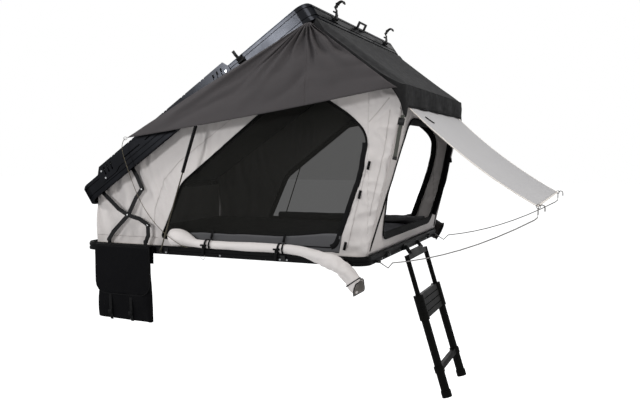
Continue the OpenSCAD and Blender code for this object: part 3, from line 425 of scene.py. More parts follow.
def twisted(name, colour, fleck, slot):
    """Laid cord: slanting strands with pale flecks."""
    s = Surface(name, slot)
    strands = s.threads(STRAND, "DIAGONAL", at=s.stretched(1, 1, 0.8))
    return s.follow(strands, (colour, fleck), (s.noise(300), 0.6, 0.85), RIB_M, strength=0.5)


def webbing(name, colour, slot, shade=0.7, gloss=0.1):
    """Narrow woven strap with ribs across it."""
    s = Surface(name, slot)
    s.set(Specular_IOR_Level=gloss)
    colours = times(colour, shade), colour
    return s.follow(s.threads(RIB, "Z"), colours, (s.noise(80), 0.65, 0.85), RIB_M, strength=0.4)


def plywood(name, colour, shade=0.6):
    """Board with long, fine grain."""
    s = Surface(name)
    rings = s.noise(5, detail=6, at=s.stretched(1, 9, 9))
    return s.follow(rings, (times(colour, shade), colour), (rings, 0.5, 0.75), BOARD_M, strength=0.2)


ALONG_X, ALONG_LID, ALONG_Z = (1, 40, 40), (1, 30, 30), (30, 30, 1)  # brush marks: stretch of their noise
CANVAS = cloth("canvas", rgb(206, 201, 199), shade=0.92, crease=0.8, crease_m=0.011, crease_scale=12)
# canvas_shade is the canvas darkened to how it looks in shade inside the tent: painted shade
cloth("canvas_shade", rgb(84, 76, 72), shade=0.85, crease=0.5, crease_m=0.005)
FLY = cloth("fly_cloth", rgb(28, 28, 29), shade=0.85, crease=0.6, crease_m=0.008, weave=0.08)
AWNING = cloth("awning_cloth", rgb(76, 73, 74), "fly_cloth", shade=0.9, crease=0.5, crease_m=0.008)
VISOR = cloth("visor_cloth", rgb(182, 181, 182), shade=0.95, crease=0.06, roughness=(0.6, 0.75), weave=0.03)
PALE_HEM = cloth("pale_hem", rgb(232, 226, 219), "visor_cloth", shade=0.95, crease=0.06, weave=0.05)
# The walls' canvas made a little lighter for the rolled left door: painted light
LIT_ROLL_CANVAS = cloth("roll_canvas", rgb(214, 209, 207), "canvas", shade=0.94, crease=0.8, crease_m=0.01,
                    crease_scale=14)
SCREEN = screen_cloth("screen_mesh", rgb(21, 21, 19), cover=0.918, cell=0.0016)
SKIRT = cloth("screen_skirt", rgb(88, 88, 90), "canvas_shade", crease=0.5)
MATTRESS = cloth("mattress_cover", rgb(52, 52, 58), crease=0.25, thread=0.002)
LINER = cloth("liner_cloth", rgb(120, 116, 112), "liner", crease=0.2)
BAG = cloth("bag_cloth", rgb(10, 10, 12), shade=0.75, crease=0.9, roughness=(0.55, 0.75), thread=0.002,
            crease_m=0.01, gloss=0.04)
# The right rolled door's canvas, darkened to its look in shade: painted shade
ROLL_PAINTED_SHADE = cloth("roll_shade", rgb(40, 36, 34), "canvas_shade", shade=0.8, crease=0.6)
TAPE = webbing("black_tape", rgb(14, 14, 15), "black_steel")
STRAP = webbing("grey_webbing", rgb(84, 85, 80), "fly_cloth")
THREAD = cloth("seam_thread", rgb(188, 182, 180), "canvas", crease=0.1)
CORD = twisted("cord_strands", rgb(42, 39, 32), rgb(92, 84, 64), "cord")
BLACK_ALLOY = painted("black_alloy", rgb(13, 13, 14), 0.38, worn=4.0, brushed=ALONG_X, gloss=0.07)
BLACK_STEEL = painted("black_steel", rgb(10, 10, 12), 0.42, worn=3.5, gloss=0.2)
painted("ladder_alloy", rgb(9, 9, 8), 0.4, worn=4.0, brushed=ALONG_Z, gloss=0.06)
painted("lid_alloy", rgb(37, 38, 41), 0.24, 0.95, worn=2.2, grain=0.008, brushed=ALONG_X, rim=0.4,
        brush=0.008)
painted("lid_sheet", rgb(60, 64, 70), 0.34, 0.8, worn=1.6, brushed=ALONG_LID)
PLASTIC = painted("latch_plastic", rgb(12, 12, 13), 0.5, worn=2.5, grain=0.3)
painted("seal_rubber", rgb(13, 13, 13), 0.75, worn=1.5, grain=0.4, gloss=0.15)
SCREWS = painted("bright_screws", rgb(205, 206, 208), 0.25, 1.0, worn=1.1)
ROD_STEEL = painted("rod_steel", rgb(112, 110, 108), 0.32, 1.0, worn=1.2)
painted("strut_steel", rgb(88, 84, 74), 0.28, 1.0, worn=1.3)
AMBER = painted("amber_plastic", rgb(190, 132, 20), 0.4, slot="latch_plastic", worn=1.3)
plywood("floor_board", rgb(122, 112, 98))

# Slots with no finish of their own name
finishes.update(base_alloy=BLACK_ALLOY, strut_black=BLACK_ALLOY, bow_rod=BLACK_STEEL, cord=CORD, liner=LINER)
for part in frame["record"]["subparts"]:
    materials = frame["nodes"][part["node"]].data.materials
    materials.clear()
    materials.append(finishes[part["material_slot"]])


# Mesh building

STRAP_SECTION = ((-1, -0.6), (-0.9, -1), (0.9, -1), (1, -0.6), (1, 0.6), (0.9, 1), (-0.9, 1), (-1, 0.6))


def piece(name, mesh, finish, body="base", slot=None, thick=0.0, fold=None):
    """A mesh that rides on a body; thick gives a sheet its two faces, fold flattens it as the lid closes."""
    verts, faces = mesh
    data = bpy.data.meshes.new(name)
    data.from_pydata([tuple(v) for v in verts], [], faces)
    data.materials.append(finish)
    data.polygons.foreach_set("use_smooth", [True] * len(data.polygons))
    made = bpy.data.objects.new(name, data)
    scene.collection.objects.link(made)
    if thick:
        solid = made.modifiers.new("thick", "SOLIDIFY")
        solid.thickness, solid.offset = thick, 0.0
        graph = bpy.context.evaluated_depsgraph_get()
        made.data = bpy.data.meshes.new_from_object(made.evaluated_get(graph))
        made.modifiers.clear()
        bpy.data.meshes.remove(data)
        made.data.name = name
    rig.ride(made, body)
    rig.slot(made, slot or slots[finish.name])
    if fold:
        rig.squash(made, "lid_fold", **fold)
    return made


def quads(lines, width, wrap=False, closed=False):
    """Faces between lines of points; wrap joins each line's ends, closed joins the last line to the first."""
    return [(i * width + j, i * width + (j + 1) % width,
             (i + 1) % lines * width + (j + 1) % width, (i + 1) % lines * width + j)
            for i in range(lines if closed else lines - 1) for j in range(width if wrap else width - 1)]


def pipe_faces(rings, sides, closed=False):
    """Faces of a tube of so many rings, with caps where it doesn't close on itself."""
    faces = quads(rings, sides, True, closed)
    if closed:
        return faces
    return [tuple(range(sides))[::-1], *faces, tuple((rings - 1) * sides + k for k in range(sides))]


def grid(rows, cols, at):
    """Points and quads of a sheet; at(u, v) gives a point, u along the rows and v along the columns."""
    return [at(u, v) for u in shares(rows) for v in shares(cols)], quads(rows + 1, cols + 1)


def inside(p, outline):
    """True where a flat point lies in a closed outline."""
    odd = False
    for a, b in zip(outline, outline[1:] + outline[:1]):
        if (a[1] > p[1]) != (b[1] > p[1]) and p[0] < a[0] + (b[0] - a[0]) * (p[1] - a[1]) / (b[1] - a[1]):
            odd = not odd
    return odd


def stepped(outline, step, closed=True):
    """The outline with points no further apart than step."""
    out = []
    for a, b in zip(outline, outline[1:] + outline[:1] if closed else outline[1:]):
        count = max(1, ceil(dist(a, b) / step))
        out += [between(a, b, f) for f in shares(count)[:-1]]
    return out if closed else out + [tuple(outline[-1])]


def softened(outline, r, most=0.45):
    """A closed outline with its corners rounded off, by the share most of an edge at the most."""
    out = []
    for before, q, after in zip(outline[-1:] + outline, outline, outline[1:] + outline[:1]):
        q = Vector(q)
        a, b = Vector(before) - q, Vector(after) - q
        start, end = q + a * min(most, r / a.length), q + b * min(most, r / b.length)
        out += [tuple(mix(mix(start, q, t), mix(q, end, t), t)) for t in shares(4)]
    return out


def cut_sheet(outline, holes, step, place):
    """Points and triangles of a sheet cut to a flat outline with holes; place(a, b) puts a point in space."""
    loops = [stepped(loop, step) for loop in [outline] + holes]

    def kept(q):
        return inside(q, loops[0]) and not any(inside(q, hole) for hole in loops[1:])

    flat, edges = [], []
    for loop in loops:
        first = len(flat)
        flat += [Vector(q) for q in loop]
        edges += [(first + k, first + (k + 1) % len(loop)) for k in range(len(loop))]
    (low_a, rows), (low_b, cols) = (
        (min(line), int((max(line) - min(line)) / step)) for line in zip(*outline))
    for i in range(rows + 1):
        for j in range(cols + 1):
            q = (low_a + (i + 0.5 * (j % 2)) * step, low_b + j * step)
            if kept(q):
                flat.append(Vector(q))
    points, _, faces, *_ = geometry.delaunay_2d_cdt(flat, edges, [], 0, 1e-6)
    faces = [f for f in faces if kept(sum((points[k] for k in f), Vector((0, 0))) / 3)]
    return [place(q[0], q[1]) for q in points], faces


def tube(points, width, depth=None, sides=10, up=Z_AXIS, closed=False, bulge=None):
    """Points and quads of an untwisted tube; width and depth are its radii, bulge(f, a) scales them."""
    points = [Vector(p) for p in points]
    n = len(points)
    depth = depth or width
    side, verts = None, []
    for i, p in enumerate(points):
        ahead = points[(i + 1) % n if closed else min(i + 1, n - 1)]
        t = (ahead - points[i - 1 if closed or i else 0]).normalized()
        side = (side - t * side.dot(t) if side else Vector(up).cross(t)).normalized()
        top = t.cross(side)
        for a in circle(sides):
            scale = bulge(i / max(1, n - 1), a) if bulge else 1.0
            verts.append(p + (side * (width * cos(a)) + top * (depth * sin(a))) * scale)
    return verts, pipe_faces(n, sides, closed)


def ribbon(points, across, width, thick):
    """Points and quads of a flat strap along a route; across is its width's direction."""
    points = [Vector(p) for p in points]
    n = len(points)
    verts = []
    for i in range(n):
        t = (points[min(i + 1, n - 1)] - points[max(i - 1, 0)]).normalized()
        side = Vector(across)
        side = (side - t * side.dot(t)).normalized() * (width / 2)
        out = t.cross(side).normalized() * (thick / 2)
        verts += [points[i] + side * a + out * b for a, b in STRAP_SECTION]
    return verts, pipe_faces(n, len(STRAP_SECTION))


def joined(parts):
    """Several (points, faces) lists as one."""
    verts, faces = [], []
    for v, f in parts:
        faces += [tuple(k + len(verts) for k in face) for face in f]
        verts += v
    return verts, faces


def curve_through(points, steps):
    """A smooth route through given points."""
    points = [Vector(p) for p in points]
    padded = [points[0]] + points + [points[-1]]
    out = []
    for a, b, c, d in zip(padded, padded[1:], padded[2:], padded[3:]):
        for t in shares(steps)[:-1]:
            out.append(0.5 * (2 * b + (c - a) * t + (2 * a - 5 * b + 4 * c - d) * t * t
                              + (3 * b - 3 * c + d - a) * t ** 3))
    return out + [points[-1]]


def wire_ring(centre, rx, rz, wire, points=20):
    """A ring of wire that stands along X and Z."""
    x, y, z = centre
    return tube([(x + rx * cos(a), y, z + rz * sin(a)) for a in circle(points)], wire, sides=8,
                up=Y_AXIS, closed=True)


def declare_sheet(made, flat, held, rests_on, faces=2):
    """Declares a cut of cloth by the box it was cut from and its own area; a sheet has one face or two."""
    area = sum(p.area for p in made.data.polygons) / faces
    width, length = flat
    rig.sheet(made, flat=flat, held=held, rests_on=rests_on, area=min(area, width * length))


# How the cloth folds away as the lid comes down: direction, a point it flattens to, share that is left


def fold_to(axis, anchor, keep=0.03):
    return dict(axis=axis, anchor=anchor, keep=keep)


FOLD_CORD = fold_to((0, -0.25, 0.968), (0, -0.85, 0.06), keep=0.05)
FOLD_WALL = fold_to(Z_AXIS, (0, 0, 0.06))
FOLD_CORNER = fold_to((0.3, 0, 0.954), (1.0, 0, 0.05))
FOLD_FRONT = fold_to((0.3, 0, 0.954), (0.985, 0, 0.05))
FOLD_FLY = fold_to((0.25, 0, 0.9682), (0.55, 0, 0.07))
FOLD_AWNING_FRONT = {s: fold_to((0.22, s * 0.17, 0.9606), (0.55, s * 0.8, 0.065)) for s, _ in SIDES}
FOLD_AWNING_REAR = {s: fold_to((0, s * 0.1736, 0.9848), (0, s * 0.8, 0.09)) for s, _ in SIDES}
FOLD_ROLL = {-1: fold_to((0, -0.6, -0.8), (0, -0.79, 0.075)), 1: fold_to(Y_AXIS, (0, 0.78, 0))}


# Guy cord, from the awning's tip to the left rail

CORD_ROUTE = [
    (-0.642, -0.971, 0.774), (-0.652, -0.970, 0.766), (-0.664, -0.969, 0.750), (-0.671, -0.968, 0.730),
    (-0.674, -0.967, 0.712), (-0.672, -0.966, 0.690), (-0.664, -0.966, 0.660), (-0.650, -0.966, 0.620),
    (-0.633, -0.966, 0.575), (-0.613, -0.966, 0.525), (-0.590, -0.966, 0.470), (-0.563, -0.966, 0.412),
    (-0.532, -0.966, 0.355), (-0.495, -0.966, 0.300), (-0.455, -0.966, 0.250), (-0.410, -0.966, 0.203),
    (-0.360, -0.966, 0.160), (-0.310, -0.965, 0.124), (-0.262, -0.962, 0.094), (-0.225, -0.954, 0.072),
    (-0.200, -0.944, 0.060), (-0.186, -0.936, 0.057),
]
CORD_D = 0.004
cord_line = curve_through(CORD_ROUTE, 4)
cord = piece("guy_line", tube(cord_line, CORD_D / 2, up=Y_AXIS), CORD, fold=FOLD_CORD)
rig.replaces(cord, "guy_cord")
cord_length = sum((b - a).length for a, b in zip(cord_line, cord_line[1:]))
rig.cord(cord, exit=CORD_ROUTE[0], length=round(cord_length, 3), diameter=CORD_D, far_end="object",
        stiffness="limp", lay="hanging", path=[tuple(p) for p in cord_line])


# Side walls

DOOR_R, DOOR_MID = 0.05, (0.28, 0.56)
DOOR = softened([
    (-0.460, 0.095), (-0.418, 0.180), (-0.286, 0.475), (0.270, 0.897), (0.500, 1.068), (0.560, 1.105),
    (0.620, 1.095), (0.817, 0.968), (0.915, 0.905), (0.990, 0.835), (1.022, 0.770), (1.020, 0.700),
    (0.990, 0.540), (0.915, 0.328), (0.830, 0.095)], DOOR_R)
CORNER_X = 1.03  # seam between a wall's panel and its front corner
WALL_TOP_N, WALL_IN, WALL_FROM, WALL_TO = 0.1, 0.005, 0.05, 2.05
WALL_STEP, CORNER_STEP = {-1: 0.013, 1: 0.02}, 0.01
wall_rear_top = lid_point(WALL_FROM, WALL_TOP_N)
WALL = [
    (REAR_WALL_X, FLOOR_TOP), (FRONT_LOW[0] - 2 * WALL_IN, FLOOR_TOP),
    *((x - WALL_IN, z) for x, z in (FRONT_LOW, FRONT_HIGH, FRONT_PEAK)), lid_point(WALL_TO, -0.016),
    lid_point(WALL_TO, WALL_TOP_N), wall_rear_top, (REAR_WALL_X, wall_rear_top[1] - 0.03)]
# Folds of a side wall: where they start and how far they take to grow, depths, widths and reach
REAR_X, REAR_RUN, FRONT_X, FRONT_RUN = -0.42, 0.25, 0.80, 0.15
FAN_D, FAN_W, FAN_REACH = 0.009, 0.08, 0.11
STAND_D, STAND_W = 0.006, 0.125
PATCH_D, PATCHES = 0.006, (((-0.42, 0.45), 0.5, 0.06, 0.11), ((-0.1, 0.78), -0.1, 0.07, 0.15))
SLACK_D, SWELL_D, CRUSH_D, CREASE_D, CREASE_W = 0.008, 0.004, 0.004, 0.022, 0.3
MOST_OUT = 0.017


def streaks(x, z, at, slant, width, reach):
    """A patch of slanting folds round a place on the wall."""
    a, b = x - at[0], z - at[1]
    return sin(tau * (a + slant * b) / width) * exp(-(a * a + b * b) / reach ** 2)


def wall_out(x, z):
    """How far a side wall stands out: folds below the lid and behind the hinge, slack at the front."""
    below = max(0.0, (LID_REAR[1] + (x - LID_REAR[0]) * tan(LID_ANGLE) - z) * cos(LID_ANGLE))
    wander = 0.5 * rumple(x, 0.4, 0.4 * z, 3.0)
    fan = sin(tau * ((x - 0.3 * below) / FAN_W + wander))
    stand = sin(tau * ((x + 0.12 * z) / STAND_W + 1.4 * wander))
    d = ease((REAR_X - x) / REAR_RUN) * (FAN_D * fan * exp(-below / FAN_REACH) + STAND_D * stand)
    d += sum(PATCH_D * streaks(x, z, *patch) for patch in PATCHES)
    slack = ease((x - FRONT_X) / FRONT_RUN)
    d += SLACK_D * slack * rumple(x + z * 0.8, 0.3, z * 1.6 - x, 8.0) + SWELL_D * rumple(x, 1.7, z, 4.0)
    crease = abs(rumple(0.9 * x + 0.5 * z, 2.2, z - 0.4 * x, 11.0))
    d += slack * (CREASE_D * (CREASE_W - min(CREASE_W, crease)) + CRUSH_D * rumple(x, 4.4, z, 18.0))
    return WALL_Y + min(MOST_OUT, d) * ease((z - 0.04) / 0.06)


def on_wall(side, lift=0.0):
    """Puts a flat point (x, z) on a side wall, lift above its outer face."""
    return lambda x, z: Vector((x, side * (wall_out(x, z) + lift), z))


def clipped(outline, keep_below):
    """The part of an outline on one side of the corner seam."""
    out = []
    for a, b in zip(outline, outline[1:] + outline[:1]):
        below = [(q[0] <= CORNER_X) == keep_below for q in (a, b)]
        if below[0]:
            out.append(a)
        if below[0] != below[1]:
            out.append((CORNER_X, mix(a[1], b[1], (CORNER_X - a[0]) / (b[0] - a[0]))))
    return out


def door_grown(k):
    """The door's outline, grown about its middle."""
    return [tuple(m + (c - m) * k for c, m in zip(q, DOOR_MID)) for q in DOOR]


for side, label in SIDES:
    mesh = cut_sheet(clipped(WALL, True), [DOOR], WALL_STEP[side], on_wall(side))
    main = piece(f"wall_{label}_panel", mesh, CANVAS, thick=CLOTH_T, fold=FOLD_WALL)
    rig.replaces(main, f"wall_{label}")
    declare_sheet(main, (2.2, 1.45), "hung", [f"lid_rail_{label}", f"base_rail_{label}"])
    mesh = cut_sheet(clipped(WALL, False), [], CORNER_STEP, on_wall(side))
    corner = piece(f"wall_{label}_corner", mesh, CANVAS, thick=CLOTH_T, fold=FOLD_CORNER)
    declare_sheet(corner, (0.25, 1.2), "hung", [f"wall_{label}_panel", "wall_front_panel"])


# Door screen, its skirt and the tapes round both doors

SCREEN_Y, SCREEN_LOW, SCREEN_STEP, SCREEN_LAP, TAPE_LAP = 0.8405, 0.06, 0.04, 1.02, 1.012
SKIRT_FROM, SKIRT_TO, SKIRT_LOW, SKIRT_TOP, SKIRT_RISE, SKIRT_T = -0.33, 0.845, 0.062, 0.148, 0.034, 0.0012
ZIP_FROM_X, ZIP_TOP = 0.8, 0.75


def screen_at(x, z):
    return x, -SCREEN_Y + 0.003 * rumple(x, 0, z, 3), z


def skirt_at(u, v):
    """The net's sewn-on skirt, outside it, higher to the front and slack along its top."""
    top = SKIRT_TOP + SKIRT_RISE * ease((u - 0.6) / 0.4) - 0.03 * ease((0.12 - u) / 0.12)
    top += 0.004 * rumple(6 * u, 0.2, 0, 2)
    out = SCREEN_Y + 0.005 + 0.004 * v * (1 + rumple(8 * u, v, 0, 2))
    return mix(SKIRT_FROM, SKIRT_TO, u) + 0.02 * v * ease((u - 0.9) / 0.1), -out, mix(SKIRT_LOW, top, v)


screen_cut = [q for q in door_grown(SCREEN_LAP) if q[1] > SCREEN_LOW]
screen = piece("door_screen", cut_sheet(screen_cut, [], SCREEN_STEP, screen_at), SCREEN, fold=FOLD_WALL)
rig.replaces(screen, "door_mesh_left")
declare_sheet(screen, (1.55, 1.1), "stretched", ["wall_left_panel"], faces=1)
skirt = piece("screen_skirt", grid(90, 8, skirt_at), SKIRT, thick=SKIRT_T, fold=FOLD_WALL)
declare_sheet(skirt, (1.2, 0.12), "hung", ["door_screen"])

zip_line = stepped(DOOR, 0.02)
front_zip = sorted((q for q in zip_line if q[0] > ZIP_FROM_X and q[1] < ZIP_TOP), key=lambda q: q[1])
piece("door_zip_left", joined([
    tube([on_wall(-1, 0.0022)(*q) for q in zip_line], 0.0045, 0.003, sides=8, up=Y_AXIS, closed=True),
    ribbon([on_wall(-1, 0.003)(x - 0.012, z) for x, z in front_zip], (1, 0, -0.2), 0.032, 0.004)]),
    TAPE, fold=FOLD_WALL)
for side, label in SIDES:
    back = [on_wall(side, -0.008)(*q) for q in stepped(door_grown(TAPE_LAP), 0.03)]
    mesh = tube(back, 0.022, 0.0012, sides=8, up=Y_AXIS, closed=True)
    piece(f"door_tape_{label}", mesh, TAPE, fold=FOLD_WALL)


# Rear wall and head liner

REAR_HALF, REAR_TOP_N = 0.836, 0.06
LINER_L, LINER_W, LINER_N, LINER_PAD, LINER_T = 1.888, 1.716, 0.1015, 0.011, 0.002
TUFTS_ALONG, TUFTS_ACROSS = 6, 5


def rear_at(u, v):
    """The rear wall, with upright waves."""
    x = REAR_WALL_X + CLOTH_T / 2 + 0.004 * sin(26 * u + 2 * v) + 0.002 * rumple(0, u * 6, v, 3)
    return x, mix(-REAR_HALF, REAR_HALF, u), mix(FLOOR_TOP, lid_point(WALL_FROM, REAR_TOP_N)[1], v)


def liner_at(u, v):
    """The tufted liner below the lid's skin."""
    tuft = abs(sin(pi * TUFTS_ALONG * u)) ** 0.5 * abs(sin(pi * TUFTS_ACROSS * v)) ** 0.5
    x, z = lid_point(HALF_L + (u - 0.5) * LINER_L, LINER_N + LINER_PAD - LINER_PAD * tuft)
    return x, (v - 0.5) * LINER_W, z


rear_wall = piece("wall_rear_panel", grid(64, 14, rear_at), CANVAS, thick=CLOTH_T, fold=FOLD_WALL)
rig.replaces(rear_wall, "wall_rear")
declare_sheet(rear_wall, (1.68, 0.36), "hung", ["lid_rail_rear", "base_rail_rear"])
liner = piece("head_liner", grid(72, 60, liner_at), LINER, "lid", thick=LINER_T)
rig.replaces(liner, "lid_liner")
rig.padded(liner, fill=0.4)


# Front wall with its window

FRONT_LENGTH = dist(FRONT_LOW, FRONT_HIGH)
PEAK_LENGTH = FRONT_LENGTH + dist(FRONT_HIGH, FRONT_PEAK)
FRONT_HALF, FRONT_STEP = 0.851, 0.025
WINDOW_FOOT, WINDOW_R, WINDOW_LOW = 0.64, 0.08, 0.15
# One side of the window above its round lower corner, and the roll beside it, as (y, z)
WINDOW_SIDE = [(0.672, 0.28), (0.702, 0.36), (0.718, 0.42), (0.716, 0.47), (0.692, 0.56), (0.632, 0.80),
               (0.612, 0.85), (0.57, 0.87)]
WINDOW_ROLL = [(0.585, 0.872), (0.628, 0.82), (0.662, 0.68), (0.694, 0.56), (0.718, 0.47), (0.704, 0.37),
               (0.676, 0.27), (0.652, 0.19)]
WINDOW_TIE, ROLL_LIFT, ROLL_WIDE, ROLL_DEEP = (0.677, 0.62), 0.021, 0.022, 0.019
ZIP_FOOT, ZIP_HEAD, ZIP_WIDTH = (0.838, 0.085), (0.726, 0.45), 0.03
BOW_Y, BOW_IN, BOW_R, BOW_TOP_Y, BOW_FOOT, BOW_RISE = 0.824, 0.026, 0.03, 0.79, 0.043, 0.06


def on_front(y, w, lift=0.0):
    """A point of the front wall, y across and w up along it."""
    low, high, f = FRONT_LOW, FRONT_HIGH, w / FRONT_LENGTH
    if f > 1:
        low, high, f = FRONT_HIGH, FRONT_PEAK, (w - FRONT_LENGTH) / (PEAK_LENGTH - FRONT_LENGTH)
    x, z = between(low, high, f)
    slack = 0.004 * rumple(y * 1.5, 0.9, z * 2, 3) * ease((FRONT_HALF - abs(y)) / 0.08)
    return Vector((x - CLOTH_T / 2 + lift - abs(slack), y, z))


def front_w(z):
    return FRONT_LENGTH * (z - FRONT_LOW[1]) / (FRONT_HIGH[1] - FRONT_LOW[1])


def window_bulge(f, a):
    return 0.94 + 0.1 * rumple(9 * f, 0.3, cos(a), 1.5) + 0.05 * sin(40 * f + 2 * a)


window_side = [(WINDOW_FOOT - WINDOW_R + WINDOW_R * cos(a),
                front_w(WINDOW_LOW) + WINDOW_R * (1 + sin(a)))
               for a in map(radians, range(-90, -19, 14))]
window_side += [(y, front_w(z)) for y, z in WINDOW_SIDE]
window = window_side + [(-y, w) for y, w in reversed(window_side)]
front_cut = [(-FRONT_HALF, 0), (FRONT_HALF, 0), (FRONT_HALF, PEAK_LENGTH), (-FRONT_HALF, PEAK_LENGTH)]
front_wall = piece("wall_front_panel", cut_sheet(front_cut, [window], FRONT_STEP, on_front), CANVAS,
                   thick=CLOTH_T, fold=FOLD_FRONT)
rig.replaces(front_wall, "wall_front")
declare_sheet(front_wall, (1.7, 1.03), "hung", ["base_rail_front", "roof_fly_sheet"])

edge_loop = [on_front(y, w, 0.002) for y, w in stepped(window, 0.03)]
piece("window_tape", tube(edge_loop, 0.025, 0.004, sides=8, up=X_AXIS, closed=True), TAPE, fold=FOLD_FRONT)
zip_points = [between(ZIP_FOOT, ZIP_HEAD, f) for f in shares(16)]
piece("window_zips", joined([
    ribbon([on_front(side * y, front_w(z), 0.003) for y, z in zip_points], Y_AXIS, ZIP_WIDTH, 0.003)
    for side, _ in SIDES]), TAPE, fold=FOLD_FRONT)
corner_line = [between(FRONT_LOW, FRONT_HIGH, f) for f in shares(30)]
piece("corner_piping", joined([
    tube([(x, side * (FRONT_HALF + 0.002), z) for x, z in corner_line], 0.0045, sides=8, up=Y_AXIS)
    for side, _ in SIDES]), THREAD, fold=FOLD_FRONT)

roll_up = [on_front(y, front_w(z), ROLL_LIFT) for y, z in curve_through(WINDOW_ROLL, 8)]
mesh = tube(roll_up, ROLL_WIDE, ROLL_DEEP, sides=20, up=X_AXIS, bulge=window_bulge)
window_roll = piece("window_roll", mesh, BAG, fold=FOLD_FRONT)
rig.padded(window_roll, fill=0.35)
tie = on_front(WINDOW_TIE[0], front_w(WINDOW_TIE[1]), ROLL_LIFT)
tie_loop = [tie + Vector((0.024 * cos(a), 0.026 * sin(a), -0.006 * sin(a))) for a in circle(20)]
toggle = [tie + Vector((0.024, -0.012, 0.016)), tie + Vector((0.024, 0.004, -0.016))]
piece("window_tie", joined([tube(tie_loop, 0.008, 0.002, sides=8, closed=True), tube(toggle, 0.009)]), TAPE,
      fold=FOLD_FRONT)

bow_x, bow_top = FRONT_HIGH[0] - BOW_IN, FRONT_HIGH[1] + BOW_RISE
bow_line = [(mix(FRONT_LOW[0] - BOW_IN, bow_x, f), -BOW_Y, mix(BOW_FOOT, bow_top, f))
            for f in shares(24)[:-1]]
bow_line += [(bow_x, -BOW_Y + BOW_R * (1 - cos(a)), bow_top - BOW_R + BOW_R * sin(a))
             for a in (0.3, 0.8, 1.3)]
bow_line += [(bow_x, mix(-BOW_TOP_Y, 0, f), bow_top) for f in shares(10)]
bow_line += [(x, -y, z) for x, y, z in reversed(bow_line[:-1])]
bow = piece("bow_sleeve", tube(bow_line, 0.009, up=Y_AXIS), TAPE, slot="bow_rod", fold=FOLD_FRONT)
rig.replaces(bow, "front_bow")


# Roof fly: one sheet over the slope with round front corners, side hems, a valance and two corner flaps

LID_EDGE = lid_point(2.097, -0.004)
SLOPE = (LID_EDGE[1] - EAVE[1]) / (EAVE[0] - LID_EDGE[0])
FLY_MID, FLY_SIDE = EAVE[0] - FLY_R, FLY_HALF - FLY_R
FLY_INSET, FLY_BEND, FLY_T, FLY_SAG = 0.036, 0.034, 0.0025, 0.012
SLOPE_ROWS, TURN_ROWS, FLY_COLS, HEM_ROWS = 30, 16, 72, 12
COL_SPREAD, COL_EDGE = 1.4, 0.988  # columns stand closer to the sides, and the last ones at this share
# The lower edge round a front corner, by the share of the turn: down to the flap's tip and up to the valance
FLAP_FALL = [(0.0, 1.129), (0.14, 1.107), (0.32, 1.056), (0.47, 1.014), (0.60, 0.972), (0.66, 0.948),
             (0.70, 0.918), (0.74, 0.893), (0.79, 0.884), (0.85, 0.888), (0.92, 0.915), (1.0, 0.945)]


def along(table, t):
    """The height at t between the points of a short table."""
    for (a, p), (b, q) in zip(table, table[1:]):
        if t <= b:
            return mix(p, q, (t - a) / (b - a))
    return table[-1][1]


def slope_z(x):
    return EAVE[1] + (EAVE[0] - x) * SLOPE


def fly_row(i):
    """Row i of the slope: its x, its half width and how far it has gone round the front corner, 0 to 1."""
    if i <= SLOPE_ROWS:
        return mix(LID_EDGE[0], FLY_MID, i / SLOPE_ROWS), FLY_HALF - FLY_INSET, 0.0
    turn = (i - SLOPE_ROWS) / TURN_ROWS
    return (FLY_MID + FLY_R * sin(turn * pi / 2),
            FLY_SIDE + FLY_R * cos(turn * pi / 2) - FLY_INSET * (1 - turn), turn)


def fly_across(j):
    """Where column j lies across the fly, -1 to 1."""
    if j in (0, FLY_COLS):
        return -1.0 if j == 0 else 1.0
    v = (j - 1) / (FLY_COLS - 2)
    return sin((2 * v - 1) * COL_SPREAD) / sin(COL_SPREAD) * COL_EDGE


def fly_top(i, j):
    x, half, turn = fly_row(i)
    across = fly_across(j)
    y = half * across
    sag = ease((x - LID_EDGE[0]) / 0.2) * ease((EAVE[0] - x) / 0.2)
    z = slope_z(x) - sag * (FLY_SAG * (1 - across ** 2) + 0.004 * abs(rumple(x, y, 0, 2.2)))
    z -= FLY_BEND * ease((abs(across) - 0.82) / 0.18) ** 1.5 * (1 - turn) * ease((x - LID_EDGE[0]) / 0.06)
    return Vector((x - CLOTH_T / 2, y, z - CLOTH_T / 2))


def fly_low(p, turn, side):
    """Height of the fly's lower edge below a point of its rim."""
    if side == 0:
        return VALANCE_LOW + 0.01 * (1 - (abs(p.y) / FLY_SIDE) ** 4)
    return along(FLAP_FALL, turn) if turn else slope_z(p.x) - FLY_HEM


def fly_mesh():
    """Points and faces of the fly, and its lower edge."""
    rows, width = SLOPE_ROWS + TURN_ROWS, FLY_COLS + 1
    verts = [fly_top(i, j) for i in range(rows + 1) for j in range(width)]
    faces = quads(rows + 1, width)
    rim = [(i * width, fly_row(i)[2], -1) for i in range(rows + 1)]
    rim += [(rows * width + j, 1.0, 0) for j in range(1, FLY_COLS)]
    rim += [(i * width + FLY_COLS, fly_row(i)[2], 1) for i in range(rows, -1, -1)]
    run = 0.0
    rings = [[] for _ in range(HEM_ROWS)]
    for count, (k, turn, side) in enumerate(rim):
        p = verts[k]
        run += (p - verts[rim[max(0, count - 1)][0]]).length
        out = Vector((sin(turn * pi / 2), side * cos(turn * pi / 2), 0))
        low = fly_low(p, turn, side)
        for ring, share in zip(rings, shares(HEM_ROWS)[1:]):
            f = share ** 1.3
            wave = 0.006 * sin(17 * run + 1) + 0.006 * rumple(run, 0.3, f, 6)
            lean_out = FLY_INSET * (1 - turn) * min(1.0, (p.z - low) * f / FLY_HEM) if side else 0.0
            q = p + out * (CLOTH_T / 2 + lean_out + (wave if turn else 0.2 * wave) * f)
            q.z = mix(p.z, low, f)
            ring.append(q)
    upper = [k for k, _, _ in rim]
    for ring in rings:
        lower = list(range(len(verts), len(verts) + len(ring)))
        verts += ring
        faces += [(a, c, d, b) for a, b, c, d in zip(upper, upper[1:], lower, lower[1:])]
        upper = lower
    return verts, faces, rings[-1]


